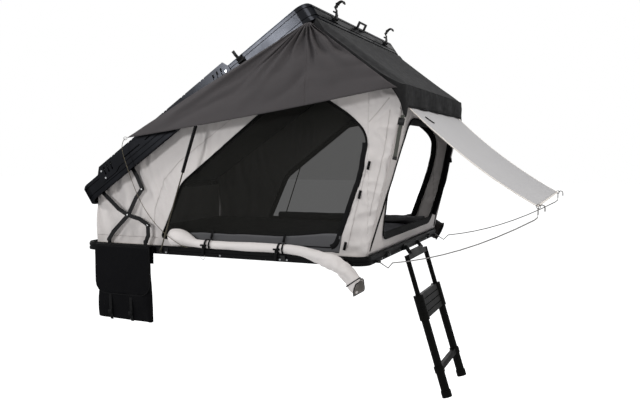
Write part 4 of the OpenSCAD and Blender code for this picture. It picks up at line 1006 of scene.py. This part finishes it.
fly_verts, fly_faces, fly_foot = fly_mesh()
fly = piece("roof_fly_sheet", (fly_verts, fly_faces), FLY, thick=FLY_T, fold=FOLD_FLY)
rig.replaces(fly, "roof_fly")
declare_sheet(fly, (2.0, 0.95), "stretched", ["lid_rail_front", "front_bow"])
piece("fly_piping", tube(fly_foot, 0.0034, 0.0026, sides=8), FLY, fold=FOLD_FLY)


# Side awnings, a triangle from the lid's edge to the tip and the eave, with folds that fan out from the ridge

TIP, RIDGE, AWNING_EAVE = lid_point(0.585, 0.165), lid_point(2.06, -0.008), (1.224, 1.053)
AWNING_ROWS, REAR_COLS, FRONT_COLS, AWNING_CUT, AWNING_T = 44, 84, 36, 0.7, 0.002
AWNING_GAP, TIP_OUT, PLEAT_D, PLEATS, SWELL_OUT, SWELLS = 0.010, 0.024, 0.026, 9, 0.02, 2.6
RIM_SAG, RIDGE_GAP = 0.010, 0.02


def fly_half(x):
    """Half the fly's width at x, less round its front corners."""
    reach = min(FLY_R, max(0.0, x - FLY_MID))
    return FLY_SIDE + sqrt(FLY_R ** 2 - reach ** 2)


def awning_at(side, start, end):
    """Places a share of an awning: g goes out from the ridge, f along the rim from the tip to the eave."""
    def waves(turns):
        return 0.5 + 0.5 * sin(tau * turns)

    def at(g, v):
        f = mix(start, end, v)
        x, z = between(TIP, AWNING_EAVE, f)
        x, z = between(RIDGE, (x, z - RIM_SAG * sin(pi * f)), mix(RIDGE_GAP, 1, g))
        out = fly_half(x) + AWNING_GAP + TIP_OUT * (1 - f) * g
        wander = 0.5 * rumple(4 * f, 2 * g, 0.7, 2)
        gather = ease(g / 0.06) * (1 - ease((g - 0.12) / 0.75)) * ease((f - 0.15) / 0.3)
        pleat = PLEAT_D * gather * waves(PLEATS * f + wander)
        swell = SWELL_OUT * sin(pi * g) * waves(SWELLS * f + 0.3 * g + wander)
        roll = 0.016 * exp(-((f - 0.09) / 0.05) ** 2) * sin(pi * g)
        near_seam = exp(-(1 - f) / 0.10) * (1 - 0.6 * g)
        pucker = 0.02 * near_seam * abs(sin(15 * g + 2 * wander)) * ease(g / 0.05)
        return x, side * (out + pleat + swell + roll + pucker), z

    return at


for side, label in SIDES:
    rail = f"lid_rail_{label}"
    mesh = grid(AWNING_ROWS, FRONT_COLS, awning_at(side, AWNING_CUT, 1))
    front = piece(f"awning_{label}_front", mesh, AWNING, thick=AWNING_T, fold=FOLD_AWNING_FRONT[side])
    declare_sheet(front, (0.6, 0.6), "hung", ["roof_fly_sheet", rail])
    mesh = grid(AWNING_ROWS, REAR_COLS, awning_at(side, 0, AWNING_CUT))
    rear = piece(f"awning_{label}_rear", mesh, AWNING, thick=AWNING_T, fold=FOLD_AWNING_REAR[side])
    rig.replaces(rear, f"awning_{label}")
    declare_sheet(rear, (1.5, 0.66), "hung", [rail, "guy_line"] if side < 0 else [rail])


# Rolled doors

ROLL_Y, ROLL_Z, ROLL_SIDES, ROLL_STEP, ROLL_FLAT, PIPING_R = -0.903, 0.0785, 32, 0.015, 0.97, 0.0034
ROLL_LEFT = [
    (-0.350, -0.890, 0.106), (-0.300, -0.890, 0.114), (-0.235, -0.891, 0.105), (-0.150, -0.897, 0.083),
    (0.0, ROLL_Y, ROLL_Z), (0.480, ROLL_Y, ROLL_Z), (0.575, -0.912, 0.077), (0.640, -0.932, 0.073),
    (0.705, -0.955, 0.063), (0.785, -0.967, 0.044), (0.885, -0.973, 0.010), (0.962, -0.976, -0.046),
    (1.002, -0.976, -0.096), (1.030, -0.976, -0.1418)]
ROLL_RIGHT = [
    (-0.345, 0.894, 0.0972), (-0.300, 0.894, 0.0952), (-0.150, 0.894, 0.0937), (0.600, 0.896, 0.0942),
    (0.760, 0.914, 0.1042), (0.860, 0.950, 0.1082), (0.940, 0.990, 0.0762), (1.000, 1.000, 0.0442),
    (1.052, 1.002, 0.0222)]
SCREEN_ROLL = [(-0.34, 0.79, 0.126), (0.2, 0.792, 0.128), (0.7, 0.79, 0.13), (0.97, 0.785, 0.128)]
SLANT_RINGS, SLANT_TOWARD, SLANT_DEPTH, SLANT_FROM = 7, Vector((0.62, -0.45, 0.64)), 0.075, 0.25
MOUTH_RIM, MOUTH_TAPER, MOUTH_DEPTH, PIPING_BACK, PIPING_GROW = 0.9, 0.9, {-1: 0.025, 1: 0.07}, 9, 1.02


def roll_bulge(seed, swell):
    """Scale of a roll's section: the turns' edge, slack wrinkles, and swell(f) along it."""
    def bulge(f, a):
        spiral = 0.06 * ((a / tau + 0.15) % 1.0)
        wrinkle = 0.06 * rumple(f * 14, seed, cos(a), 1.6) + 0.045 * sin(34 * f + 3 * a + seed)
        crumple = 0.22 * abs(rumple(f * 26, seed + 3, 1.5 * sin(a), 1.3)) * ease((f - 0.62) / 0.15)
        return swell(f) * (0.97 + spiral - crumple + wrinkle * (0.6 + 1.3 * ease((f - 0.6) / 0.2)))

    return bulge


def left_swell(f):
    rear = 1.1 * ease((0.16 - f) / 0.11) * ease((f + 0.012) / 0.045)
    return 1 + rear + 0.1 * ease((f - 0.3) / 0.1) + 0.6 * ease((f - 0.62) / 0.2)


def right_swell(f):
    return 1 + 1.3 * ease((f - 0.6) / 0.3)


def middle_of(ring):
    return sum(ring, Vector()) / len(ring)


def grown_ring(ring, k):
    middle = middle_of(ring)
    return [middle + (q - middle) * k for q in ring]


def backward(before, ring):
    """The direction from a ring to the one before it."""
    return (middle_of(before) - middle_of(ring)).normalized()


def open_end(rings, depth):
    """Adds a rim and a hollow of some depth to a tube's far end; the rolls give the hollow a dark finish, painted
    shade.
    """
    back = backward(*rings[-2:]) * depth
    rim, foot = (grown_ring(rings[-1], k) for k in (MOUTH_RIM, MOUTH_RIM * MOUTH_TAPER))
    rings += [rim, [q + back for q in foot]]


def cut_slant(rings):
    """Cuts a tube's far end on the slant, shorter on the side that faces SLANT_TOWARD."""
    for k in range(-SLANT_RINGS, 0):
        ring = rings[k]
        middle, back = middle_of(ring), backward(rings[k - 1], ring)
        reach = max((q - middle).length for q in ring)
        depth = SLANT_DEPTH * (k + 1 + SLANT_RINGS) / SLANT_RINGS
        facing = [(q - middle).dot(SLANT_TOWARD) / reach + SLANT_FROM for q in ring]
        rings[k] = [q + back * (depth * max(0.0, f) / (1 + SLANT_FROM)) for q, f in zip(ring, facing)]


# Each roll's hollow mouth takes a darker second finish as painted shade: the liner cloth in the left roll, black tape
# in the right one
for (side, label), route, radius, swell, finish, mouth_painted_shade in zip(
        SIDES, (ROLL_LEFT, ROLL_RIGHT), (0.0285, 0.034), (left_swell, right_swell), (LIT_ROLL_CANVAS, ROLL_PAINTED_SHADE),
        (LINER, TAPE)):
    line = stepped([tuple(p) for p in curve_through(route, 6)], ROLL_STEP, closed=False)
    bulge = roll_bulge(2.5 + 1.5 * side, swell)
    verts, _ = tube(line, radius, radius * ROLL_FLAT, sides=ROLL_SIDES, bulge=bulge)
    rings = [verts[k:k + ROLL_SIDES] for k in range(0, len(verts), ROLL_SIDES)]
    second = grown_ring(rings[-PIPING_BACK], PIPING_GROW)
    if side < 0:
        cut_slant(rings)
    mouth = rings[-1]
    open_end(rings, MOUTH_DEPTH[side])
    mesh = sum(rings, []), pipe_faces(len(rings), ROLL_SIDES)
    roll = piece(f"rolled_door_{label}", mesh, finish, fold=FOLD_ROLL[side])
    roll.data.materials.append(mouth_painted_shade)
    for face in list(roll.data.polygons)[-ROLL_SIDES - 1:]:
        face.material_index = 1
    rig.replaces(roll, f"door_roll_{label}")
    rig.padded(roll, fill=0.35)
    ends = [tube(loop, PIPING_R, sides=8, up=(0.5, 0.1, 1), closed=True) for loop in (mouth, second)]
    piece(f"roll_piping_{label}", joined(ends), TAPE, fold=FOLD_ROLL[side])

line = stepped(SCREEN_ROLL, 0.02, closed=False)
mesh = tube(line, 0.036, 0.032, sides=24, bulge=roll_bulge(7.0, lambda f: 1.0))
inner_roll = piece("screen_roll_right", mesh, SKIRT, fold=FOLD_WALL)
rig.padded(inner_roll, fill=0.4)

HOOP_R, STRAP_W, STRAP_T = 0.0355, 0.016, 0.0022


def hoop(x, width):
    """A strap round the left roll at one place."""
    ring = [(x, ROLL_Y + HOOP_R * cos(a), ROLL_Z + HOOP_R * sin(a)) for a in circle(24)]
    return tube(ring, width / 2, 0.0015, sides=8, up=(0, 0.3, 1), closed=True)


for x, label in ((-0.056, "rear"), (0.47, "front")):
    tail = [(x - 0.012, ROLL_Y - 0.034, ROLL_Z), (x - 0.014, -0.9365, 0.05), (x - 0.018, -0.934, 0.02),
            (x - 0.022, -0.9325, 0.005)]
    riser = [(x + 0.004, -0.862, 0.112), (x + 0.008, -0.856, 0.14), (x + 0.012, -0.853, 0.168)]
    toggle = [(x - 0.028, ROLL_Y - 0.04, ROLL_Z), (x + 0.016, ROLL_Y - 0.04, ROLL_Z)]
    piece(f"roll_strap_{label}", joined([
        hoop(x, 0.016), hoop(x + 0.03, 0.012), ribbon(curve_through(tail, 3), X_AXIS, STRAP_W, STRAP_T),
        ribbon(riser, X_AXIS, STRAP_W, STRAP_T), tube(toggle, 0.006)]), TAPE, fold=FOLD_ROLL[-1])


# Mattress

BED_ROWS, BED_COLS, BED_HALF_L, BED_HALF_W, BED_T, BED_CROWN = 84, 56, 0.963, 0.81, 0.052, 0.012
# Its sides from the top down: growth about the middle, share of the height
BED_SIDE = [(1.0, 1.0), (1.0035, 0.86), (1.004, 0.5), (1.003, 0.12), (0.995, 0.0)]


def mattress_top(u, v):
    a, b = 2 * u - 1, 2 * v - 1
    drawn = 1 - 0.012 * sin(pi / 2 * (a + 1)) ** 2 * abs(b)
    crown = BED_CROWN * (1 - a ** 6) * (1 - b ** 6)
    channel = 0.006 * max(0, 1 - 6 * abs(cos(3 * pi * a)))
    z = FLOOR_TOP + BED_T + crown - channel + 0.002 * rumple(a * 3, b * 3, 0, 2)
    return Vector((a * BED_HALF_L, b * BED_HALF_W * drawn, z))


top = grid(BED_ROWS, BED_COLS, mattress_top)
lines = [top[0][i:i + BED_COLS + 1] for i in range(0, len(top[0]), BED_COLS + 1)]
rim = lines[0] + [line[-1] for line in lines[1:]] + lines[-1][-2::-1] + [line[0] for line in lines[-2:0:-1]]
sides = [(p.x * k, p.y * k, FLOOR_TOP + (p.z - FLOOR_TOP) * h) for k, h in BED_SIDE for p in rim]
side_faces = [(a, d, c, b) for a, b, c, d in quads(len(BED_SIDE), len(rim), wrap=True)]
side_faces.append(tuple(range(len(sides) - len(rim), len(sides)))[::-1])
mattress = piece("bed_mattress", joined([top, (sides, side_faces), tube(rim, 0.0035, sides=6, closed=True)]),
                 MATTRESS)
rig.replaces(mattress, "mattress")
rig.padded(mattress, fill=0.8)


# Visor

VISOR_ROWS, VISOR_COLS, VISOR_SAG = 48, 64, 0.04
VISOR_HALF_START, VISOR_HALF_END, VISOR_WAIST, VISOR_WIDTH, VISOR_LAP = 0.735, 0.77, 0.024, 1.54, 0.01


def visor_at(u, v):
    """The visor's sheet, u out from the window and v across."""
    waist = VISOR_WAIST * sin(pi * min(1, 1.5 * u)) * (1 - u)
    half = mix(VISOR_HALF_START, VISOR_HALF_END, u) - waist
    sag = 4 * VISOR_SAG * u * (1 - u) + 0.006 * (1 - (2 * v - 1) ** 2) * sin(pi * u)
    z = mix(VISOR_START[1], VISOR_END[1], u) - sag - CLOTH_T / 2
    z += 0.0015 * rumple(u * 3, v * 4, 0, 3) * (1 - ease(u / 0.6))
    return Vector((mix(VISOR_START[0], VISOR_END[0], u), mix(-half, half, v), z))


visor = piece("visor_sheet", grid(VISOR_ROWS, VISOR_COLS, visor_at), VISOR, "visor", thick=CLOTH_T)
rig.replaces(visor, "visor")
visor_length = dist(VISOR_START, VISOR_END)
declare_sheet(visor, (VISOR_WIDTH, visor_length + VISOR_LAP), "stretched", ["wall_front_panel", "visor_rods"])
hem_line = [visor_at(u, 0) for u in shares(VISOR_ROWS)] + [visor_at(1, v) for v in shares(VISOR_COLS)[1:]]
hem_line += [visor_at(1 - u, 1) for u in shares(VISOR_ROWS)[1:]]
piece("visor_hem", tube(hem_line, 0.0055, 0.0035), PALE_HEM, "visor")
tab_line = [visor_at(0.085 + 0.012 * k, 0.12 + 0.012 * k) + Vector((0.003, 0, 0.005)) for k in range(5)]
piece("visor_tab", ribbon(tab_line, (0.4, -1, 0), 0.014, 0.004), TAPE, "visor")
piece("visor_rings", joined([
    wire_ring(visor_at(1, v) + Vector((0.004, side * 0.007, 0)), 0.012, 0.012, 0.0018, points=16)
    for side, v in ((-1, 0.0), (1, 1.0))]), ROD_STEEL, "visor")


# Shoe bag: a slack pouch under its flap, with two compression straps

(bag_low, bag_high), (cover_low, cover_high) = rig.box("bag_body"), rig.box("bag_flap")
BAG_X, BAG_W, BAG_TOP, BAG_BOTTOM = bag_low[0], bag_high[0] - bag_low[0], 0.052, -0.448
BAG_BACK, BAG_FRONT, BAG_NEAR, MOUTH_Z, BAG_HALF_Y = -0.931, -0.987, -0.9305, -0.058, 0.027
BAG_ROUND, BAG_ROWS, BAG_COLS, BAG_T, BAG_STRAP_W, BAG_FLAP_T = 0.32, 30, 120, 0.0025, 0.022, 0.003
FLAP_X0, FLAP_W, FLAP_TOP, FLAP_LOW, FLAP_R = cover_low[0], cover_high[0] - cover_low[0], 0.05, -0.282, 0.08
FLAP_Y, FLAP_BACK_Y, FLAP_BEND_Y, FLAP_DIP = -0.9895, -0.933, -0.985, 0.0045
FLAP_TURN = (0, 0.39, 0.79, 1.18, 1.571)


def bag_at(v, u):
    """u goes round the pouch from the back's left edge, v up from its foot."""
    swell = sin(pi * min(1, v * 1.15 + 0.05))
    ring = tau * u
    a, b = (copysign(abs(c) ** BAG_ROUND, c) for c in (cos(ring), sin(ring)))
    half_x = BAG_W / 2 * (0.94 + 0.02 * swell + 0.07 * (1 - v) ** 3)
    half_y = BAG_HALF_Y * (0.6 + 0.4 * swell) + 0.003 * rumple(ring, v * 3, 0, 2)
    dent = 0.005 * sin(9 * v + 4 * cos(ring)) * (1 if b < 0 else 0)
    y = min(BAG_NEAR, (BAG_BACK + BAG_FRONT) / 2 + b * half_y + dent)
    z = mix(BAG_BOTTOM, MOUTH_Z, v) - 0.012 * (1 - v) * (0.5 + 0.5 * a)
    return BAG_X + BAG_W / 2 + a * half_x, y, z


def bag_back(u, v):
    return BAG_X + BAG_W * v, BAG_BACK - 0.003, mix(MOUTH_Z - 0.01, BAG_TOP, u)


def flap_place(x, z):
    return x, FLAP_Y - 0.002 * abs(rumple(x, 5, z, 6)) - 0.0015 * sin(14 * x + 3 * z) ** 2, z


def flap_over(u, v):
    """The flap's top, from the rail out to its front edge."""
    y = mix(FLAP_BACK_Y, FLAP_BEND_Y, u) - FLAP_DIP * ease((u - 0.8) / 0.2)
    return FLAP_X0 + FLAP_W * v, y, FLAP_TOP + FLAP_DIP - FLAP_DIP * ease((u - 0.75) / 0.25)


pouch, pouch_faces = grid(BAG_ROWS, BAG_COLS, bag_at)
pouch_faces.append(tuple(range(BAG_COLS))[::-1])
bag = piece("bag_pouch", joined([(pouch, pouch_faces), grid(16, 30, bag_back)]), BAG, thick=BAG_T)
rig.replaces(bag, "bag_body")
straps = []
for x in (BAG_X + 0.26 * BAG_W, BAG_X + 0.65 * BAG_W):
    line = [(x, -0.9885, -0.27), (x + 0.002, -0.9895, -0.34), (x + 0.003, -0.9885, -0.40),
            (x + 0.004, -0.9835, -0.446), (x + 0.004, -0.975, -0.462)]
    slider = [(x - 0.004, -0.992, -0.395), (x - 0.002, -0.992, -0.42)]
    straps.append(ribbon(curve_through(line, 4), X_AXIS, BAG_STRAP_W, 0.002))
    straps.append(ribbon(slider, X_AXIS, 0.03, 0.006))
piece("bag_straps", joined(straps), TAPE, slot="bag_cloth")

flap_cut = [(FLAP_X0, FLAP_TOP), (FLAP_X0 + FLAP_W, FLAP_TOP)]
flap_cut += [(FLAP_X0 + FLAP_W - FLAP_R + FLAP_R * cos(a), FLAP_LOW + FLAP_R - FLAP_R * sin(a))
             for a in FLAP_TURN]
flap_cut += [(FLAP_X0 + FLAP_R - FLAP_R * sin(a), FLAP_LOW + FLAP_R - FLAP_R * cos(a))
             for a in FLAP_TURN]
mesh = joined([cut_sheet(flap_cut, [], 0.02, flap_place), grid(10, 36, flap_over)])
bag_flap = piece("bag_flap_sheet", mesh, BAG, "flap", thick=BAG_FLAP_T)
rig.replaces(bag_flap, "bag_flap")
declare_sheet(bag_flap, (0.47, 0.4), "hung", ["base_rail_left"])
edge_line = [flap_place(*q) for q in stepped(flap_cut[1:] + flap_cut[:1], 0.02, closed=False)]
piece("bag_flap_binding", tube(edge_line, 0.003, 0.0024, sides=8, up=Y_AXIS), TAPE, "flap", "bag_cloth")


# Small trim on the cloth: tabs, seams, the flap's strap and buckle, rings

WALL_TABS, TAB_HALF = ((1.036, 0.602), (0.98, 0.427), (0.885, 0.11)), 0.026
WALL_SEAMS = [[(-0.985, 0.1), (-0.48, 0.1)], [(0.90, 0.1), (0.985, 0.45), (1.02, 0.6)],
              [(-0.52, 0.1), (-0.5, 0.3), (-0.42, 0.5), (-0.3, 0.62), (0.18, 0.95)]]
CORNER_SEAMS = [[(1.04, 0.3), (1.13, 0.7), (1.165, 0.93)], [(1.035, 0.86), (1.1, 0.93), (1.16, 1.0)]]
FLAP_STRAP = [(1.246, -0.858, 0.897), (1.240, -0.866, 0.86), (1.226, -0.866, 0.80), (1.212, -0.864, 0.72),
              (1.197, -0.862, 0.64)]
BUCKLE = [(1.243, -0.870, 0.880), (1.234, -0.871, 0.838)]
STRAP_END = [(1.2005, -0.8655, 0.655), (1.1965, -0.865, 0.636)]
FLAP_FACING = (1, -0.35, 0)

lean = Vector((FRONT_HIGH[0] - FRONT_LOW[0], 0, FRONT_HIGH[1] - FRONT_LOW[1])).normalized() * TAB_HALF
tabs = []
for x, z in WALL_TABS:
    middle = on_wall(-1, 0.008)(min(x, 1.02), z)
    middle.x = x
    tabs.append(ribbon([middle - lean, middle, middle + lean], X_AXIS, 0.016, 0.004))
piece("wall_tabs", joined(tabs), TAPE, fold=FOLD_WALL)


def seam(points):
    line = stepped(points, 0.012, closed=False)
    return tube([on_wall(-1, 0.0026)(*q) for q in line], 0.0022, 0.0009, sides=6, up=Y_AXIS)


piece("wall_seams", joined(map(seam, WALL_SEAMS)), THREAD, fold=FOLD_WALL)
piece("corner_seams", joined(map(seam, CORNER_SEAMS)), THREAD, fold=FOLD_CORNER)
piece("flap_strap", ribbon(curve_through(FLAP_STRAP, 6), FLAP_FACING, 0.027, 0.0022), STRAP, fold=FOLD_FLY)
buckle, strap_end = ribbon(BUCKLE, FLAP_FACING, 0.042, 0.012), ribbon(STRAP_END, FLAP_FACING, 0.03, 0.005)
piece("flap_buckle", joined([buckle, strap_end]), PLASTIC, fold=FOLD_FLY)
piece("awning_ring", wire_ring((TIP[0] - 0.012, -0.974, TIP[1] - 0.002), 0.014, 0.010, 0.0016), ROD_STEEL,
      fold=FOLD_AWNING_REAR[-1])
piece("rail_loop", wire_ring((-0.076, -0.9265, -0.004), 0.016, 0.014, 0.0015), ROD_STEEL)


# Small hardware: backing behind the slotted plates, hinge bolts, latch hooks, an amber plug

PLATE_N, PLATE_FROM, PLATE_TO, PLATE_Y = 0.137, 0.249, 1.43, 0.9235
BOLTS = (("crossing", "arm_a", (-0.703, 0.2496), 0.8875), ("upper_elbow", "arm_a", (-0.587, 0.4293), 0.8805),
         ("lower_elbow", "link_b", (-0.5314, 0.1842), 0.8945))
BOLT_R, BOLT_STEP = 0.0065, 0.0014
HOOK = [(0.0, 0.0), (0.012, 0.022), (0.034, 0.036), (0.052, 0.033), (0.058, 0.018)]
HOOK_Y, HOOK_R, HOOK_KEEP = 0.013, 0.0055, 0.15
PLUG_AT, PLUG_STEP = (1.049, 0.076, 0.022), 0.0025

for side, label in SIDES:
    flat = [lid_point(mix(PLATE_FROM, PLATE_TO, f), PLATE_N) for f in shares(20)]
    piece(f"plate_backing_{label}", ribbon([(x, side * PLATE_Y, z) for x, z in flat],
          (-sin(LID_ANGLE), 0, cos(LID_ANGLE)), 0.034, 0.002), BLACK_STEEL, "lid")

for name, body, (x, z), y in BOLTS:
    caps = [tube([(x, side * (y + BOLT_STEP * k), z) for k in range(3)], BOLT_R, sides=16,
                 bulge=lambda f, a: 1 - 0.3 * f) for side, _ in SIDES]
    piece(f"bolts_{name}", joined(caps), SCREWS, body)

for _, label in SIDES:
    low, high = (Vector(q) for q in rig.box(f"front_latch_{label}"))
    head = Vector(((low.x + high.x) / 2, (low.y + high.y) / 2, high.z - 0.008))
    hooks = [tube(curve_through([head + Vector((a, y, b)) for a, b in HOOK], 5), HOOK_R, up=Y_AXIS)
             for y in (-HOOK_Y, HOOK_Y)]
    for x, half, z, radius in ((0.012, 0.026, 0.022, 0.005), (-0.004, 0.03, -0.03, 0.006)):
        hooks.append(tube([head + Vector((x, y, z)) for y in (-half, half)], radius))
    hook = piece(f"front_latch_{label}_hook", joined(hooks), PLASTIC, f"latch_f{label[0]}")
    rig.squash(hook, f"latch_front_{label}", axis=X_AXIS, anchor=tuple(head), keep=HOOK_KEEP)

plug_line = [(PLUG_AT[0] + PLUG_STEP * k, *PLUG_AT[1:]) for k in range(4)]
mesh = tube(plug_line, 0.011, 0.009, sides=16, bulge=lambda f, a: 1 - 0.25 * ease((f - 0.5) / 0.5))
piece("amber_plug", mesh, AMBER)


# Stage and light

STAGE_Z, STAGE_HALF, STAGE_GLOW = -2.0, 60, 0.9
WHITE, SKY, SKY_STRENGTH = (1, 1, 1, 1), (0.96, 0.98, 1.0, 1), 0.3

pale = Surface("pale_floor")
pale.set(Base_Color=pale.mixed(pale.noise(2), rgb(238, 238, 238), rgb(244, 244, 244)), Roughness=0.9,
         Specular_IOR_Level=0.0, Emission_Color=WHITE,
         Emission_Strength=pale.product(pale.node("LightPath").outputs["Is Camera Ray"], STAGE_GLOW))
verts, faces = grid(2, 2, lambda u, v: ((2 * u - 1) * STAGE_HALF, (2 * v - 1) * STAGE_HALF, STAGE_Z))
floor_mesh = bpy.data.meshes.new("floor")
floor_mesh.from_pydata(verts, [], faces)
floor_mesh.materials.append(pale.material)
floor = bpy.data.objects.new("floor", floor_mesh)
scene.collection.objects.link(floor)
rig.stage(floor)

scene.world = bpy.data.worlds.new("studio")
scene.world.use_nodes = True
sky = Nodes(scene.world.node_tree)
path = sky.node("LightPath").outputs
seen = path["Is Camera Ray"]
for name in ("Is Glossy Ray", "Is Transmission Ray"):
    seen = sky.combined("Math", "MAXIMUM", seen, path[name])
shown = sky.node("Background", Color=WHITE, Strength=1.0)
lit = sky.node("Background", Color=SKY, Strength=SKY_STRENGTH)
pick = sky.node("MixShader", Fac=seen)
sky.put(pick.inputs[1], lit.outputs[0])
sky.put(pick.inputs[2], shown.outputs[0])
sky.put(sky.tree.nodes["World Output"].inputs["Surface"], pick.outputs[0])


def lamp(name, place, target, size, power, colour=(1, 1, 1)):
    data = bpy.data.lights.new(name, "AREA")
    data.shape, data.size, data.energy, data.color = "DISK", size, power, colour
    made = bpy.data.objects.new(name, data)
    made.location = place
    made.rotation_euler = (Vector(target) - Vector(place)).to_track_quat("-Z", "Y").to_euler()
    scene.collection.objects.link(made)
    return made


lamp("side", (-2.3, -6.2, 2.1), (0.1, -0.9, 0.8), 1.1, 135, (0.98, 0.99, 1.0))
lamp("rake", (-4.6, -3.0, 2.6), (-0.1, -0.85, 0.5), 1.0, 90, (1.0, 0.99, 0.98))
lamp("key", (6.0, -3.2, 4.6), (0.8, 0, 0.6), 3.0, 175, (1.0, 0.97, 0.94))
lamp("crown", (3.9, -3.0, 6.7), (0.7, -0.8, 1.4), 3.0, 110)
lamp("top", (0.0, 1.0, 6.0), (0, 0, 0.5), 5.0, 130)
lamp("inside", (0.35, 0.0, 0.95), (0.35, 0.0, 0.0), 0.6, 3.0).visible_camera = False

scene.view_settings.view_transform = "Standard"
with open("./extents.json", "w") as out:
    json.dump({"cad": [list(v) for v in cad_box], "visual": [list(v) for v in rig.bounds()]}, out)
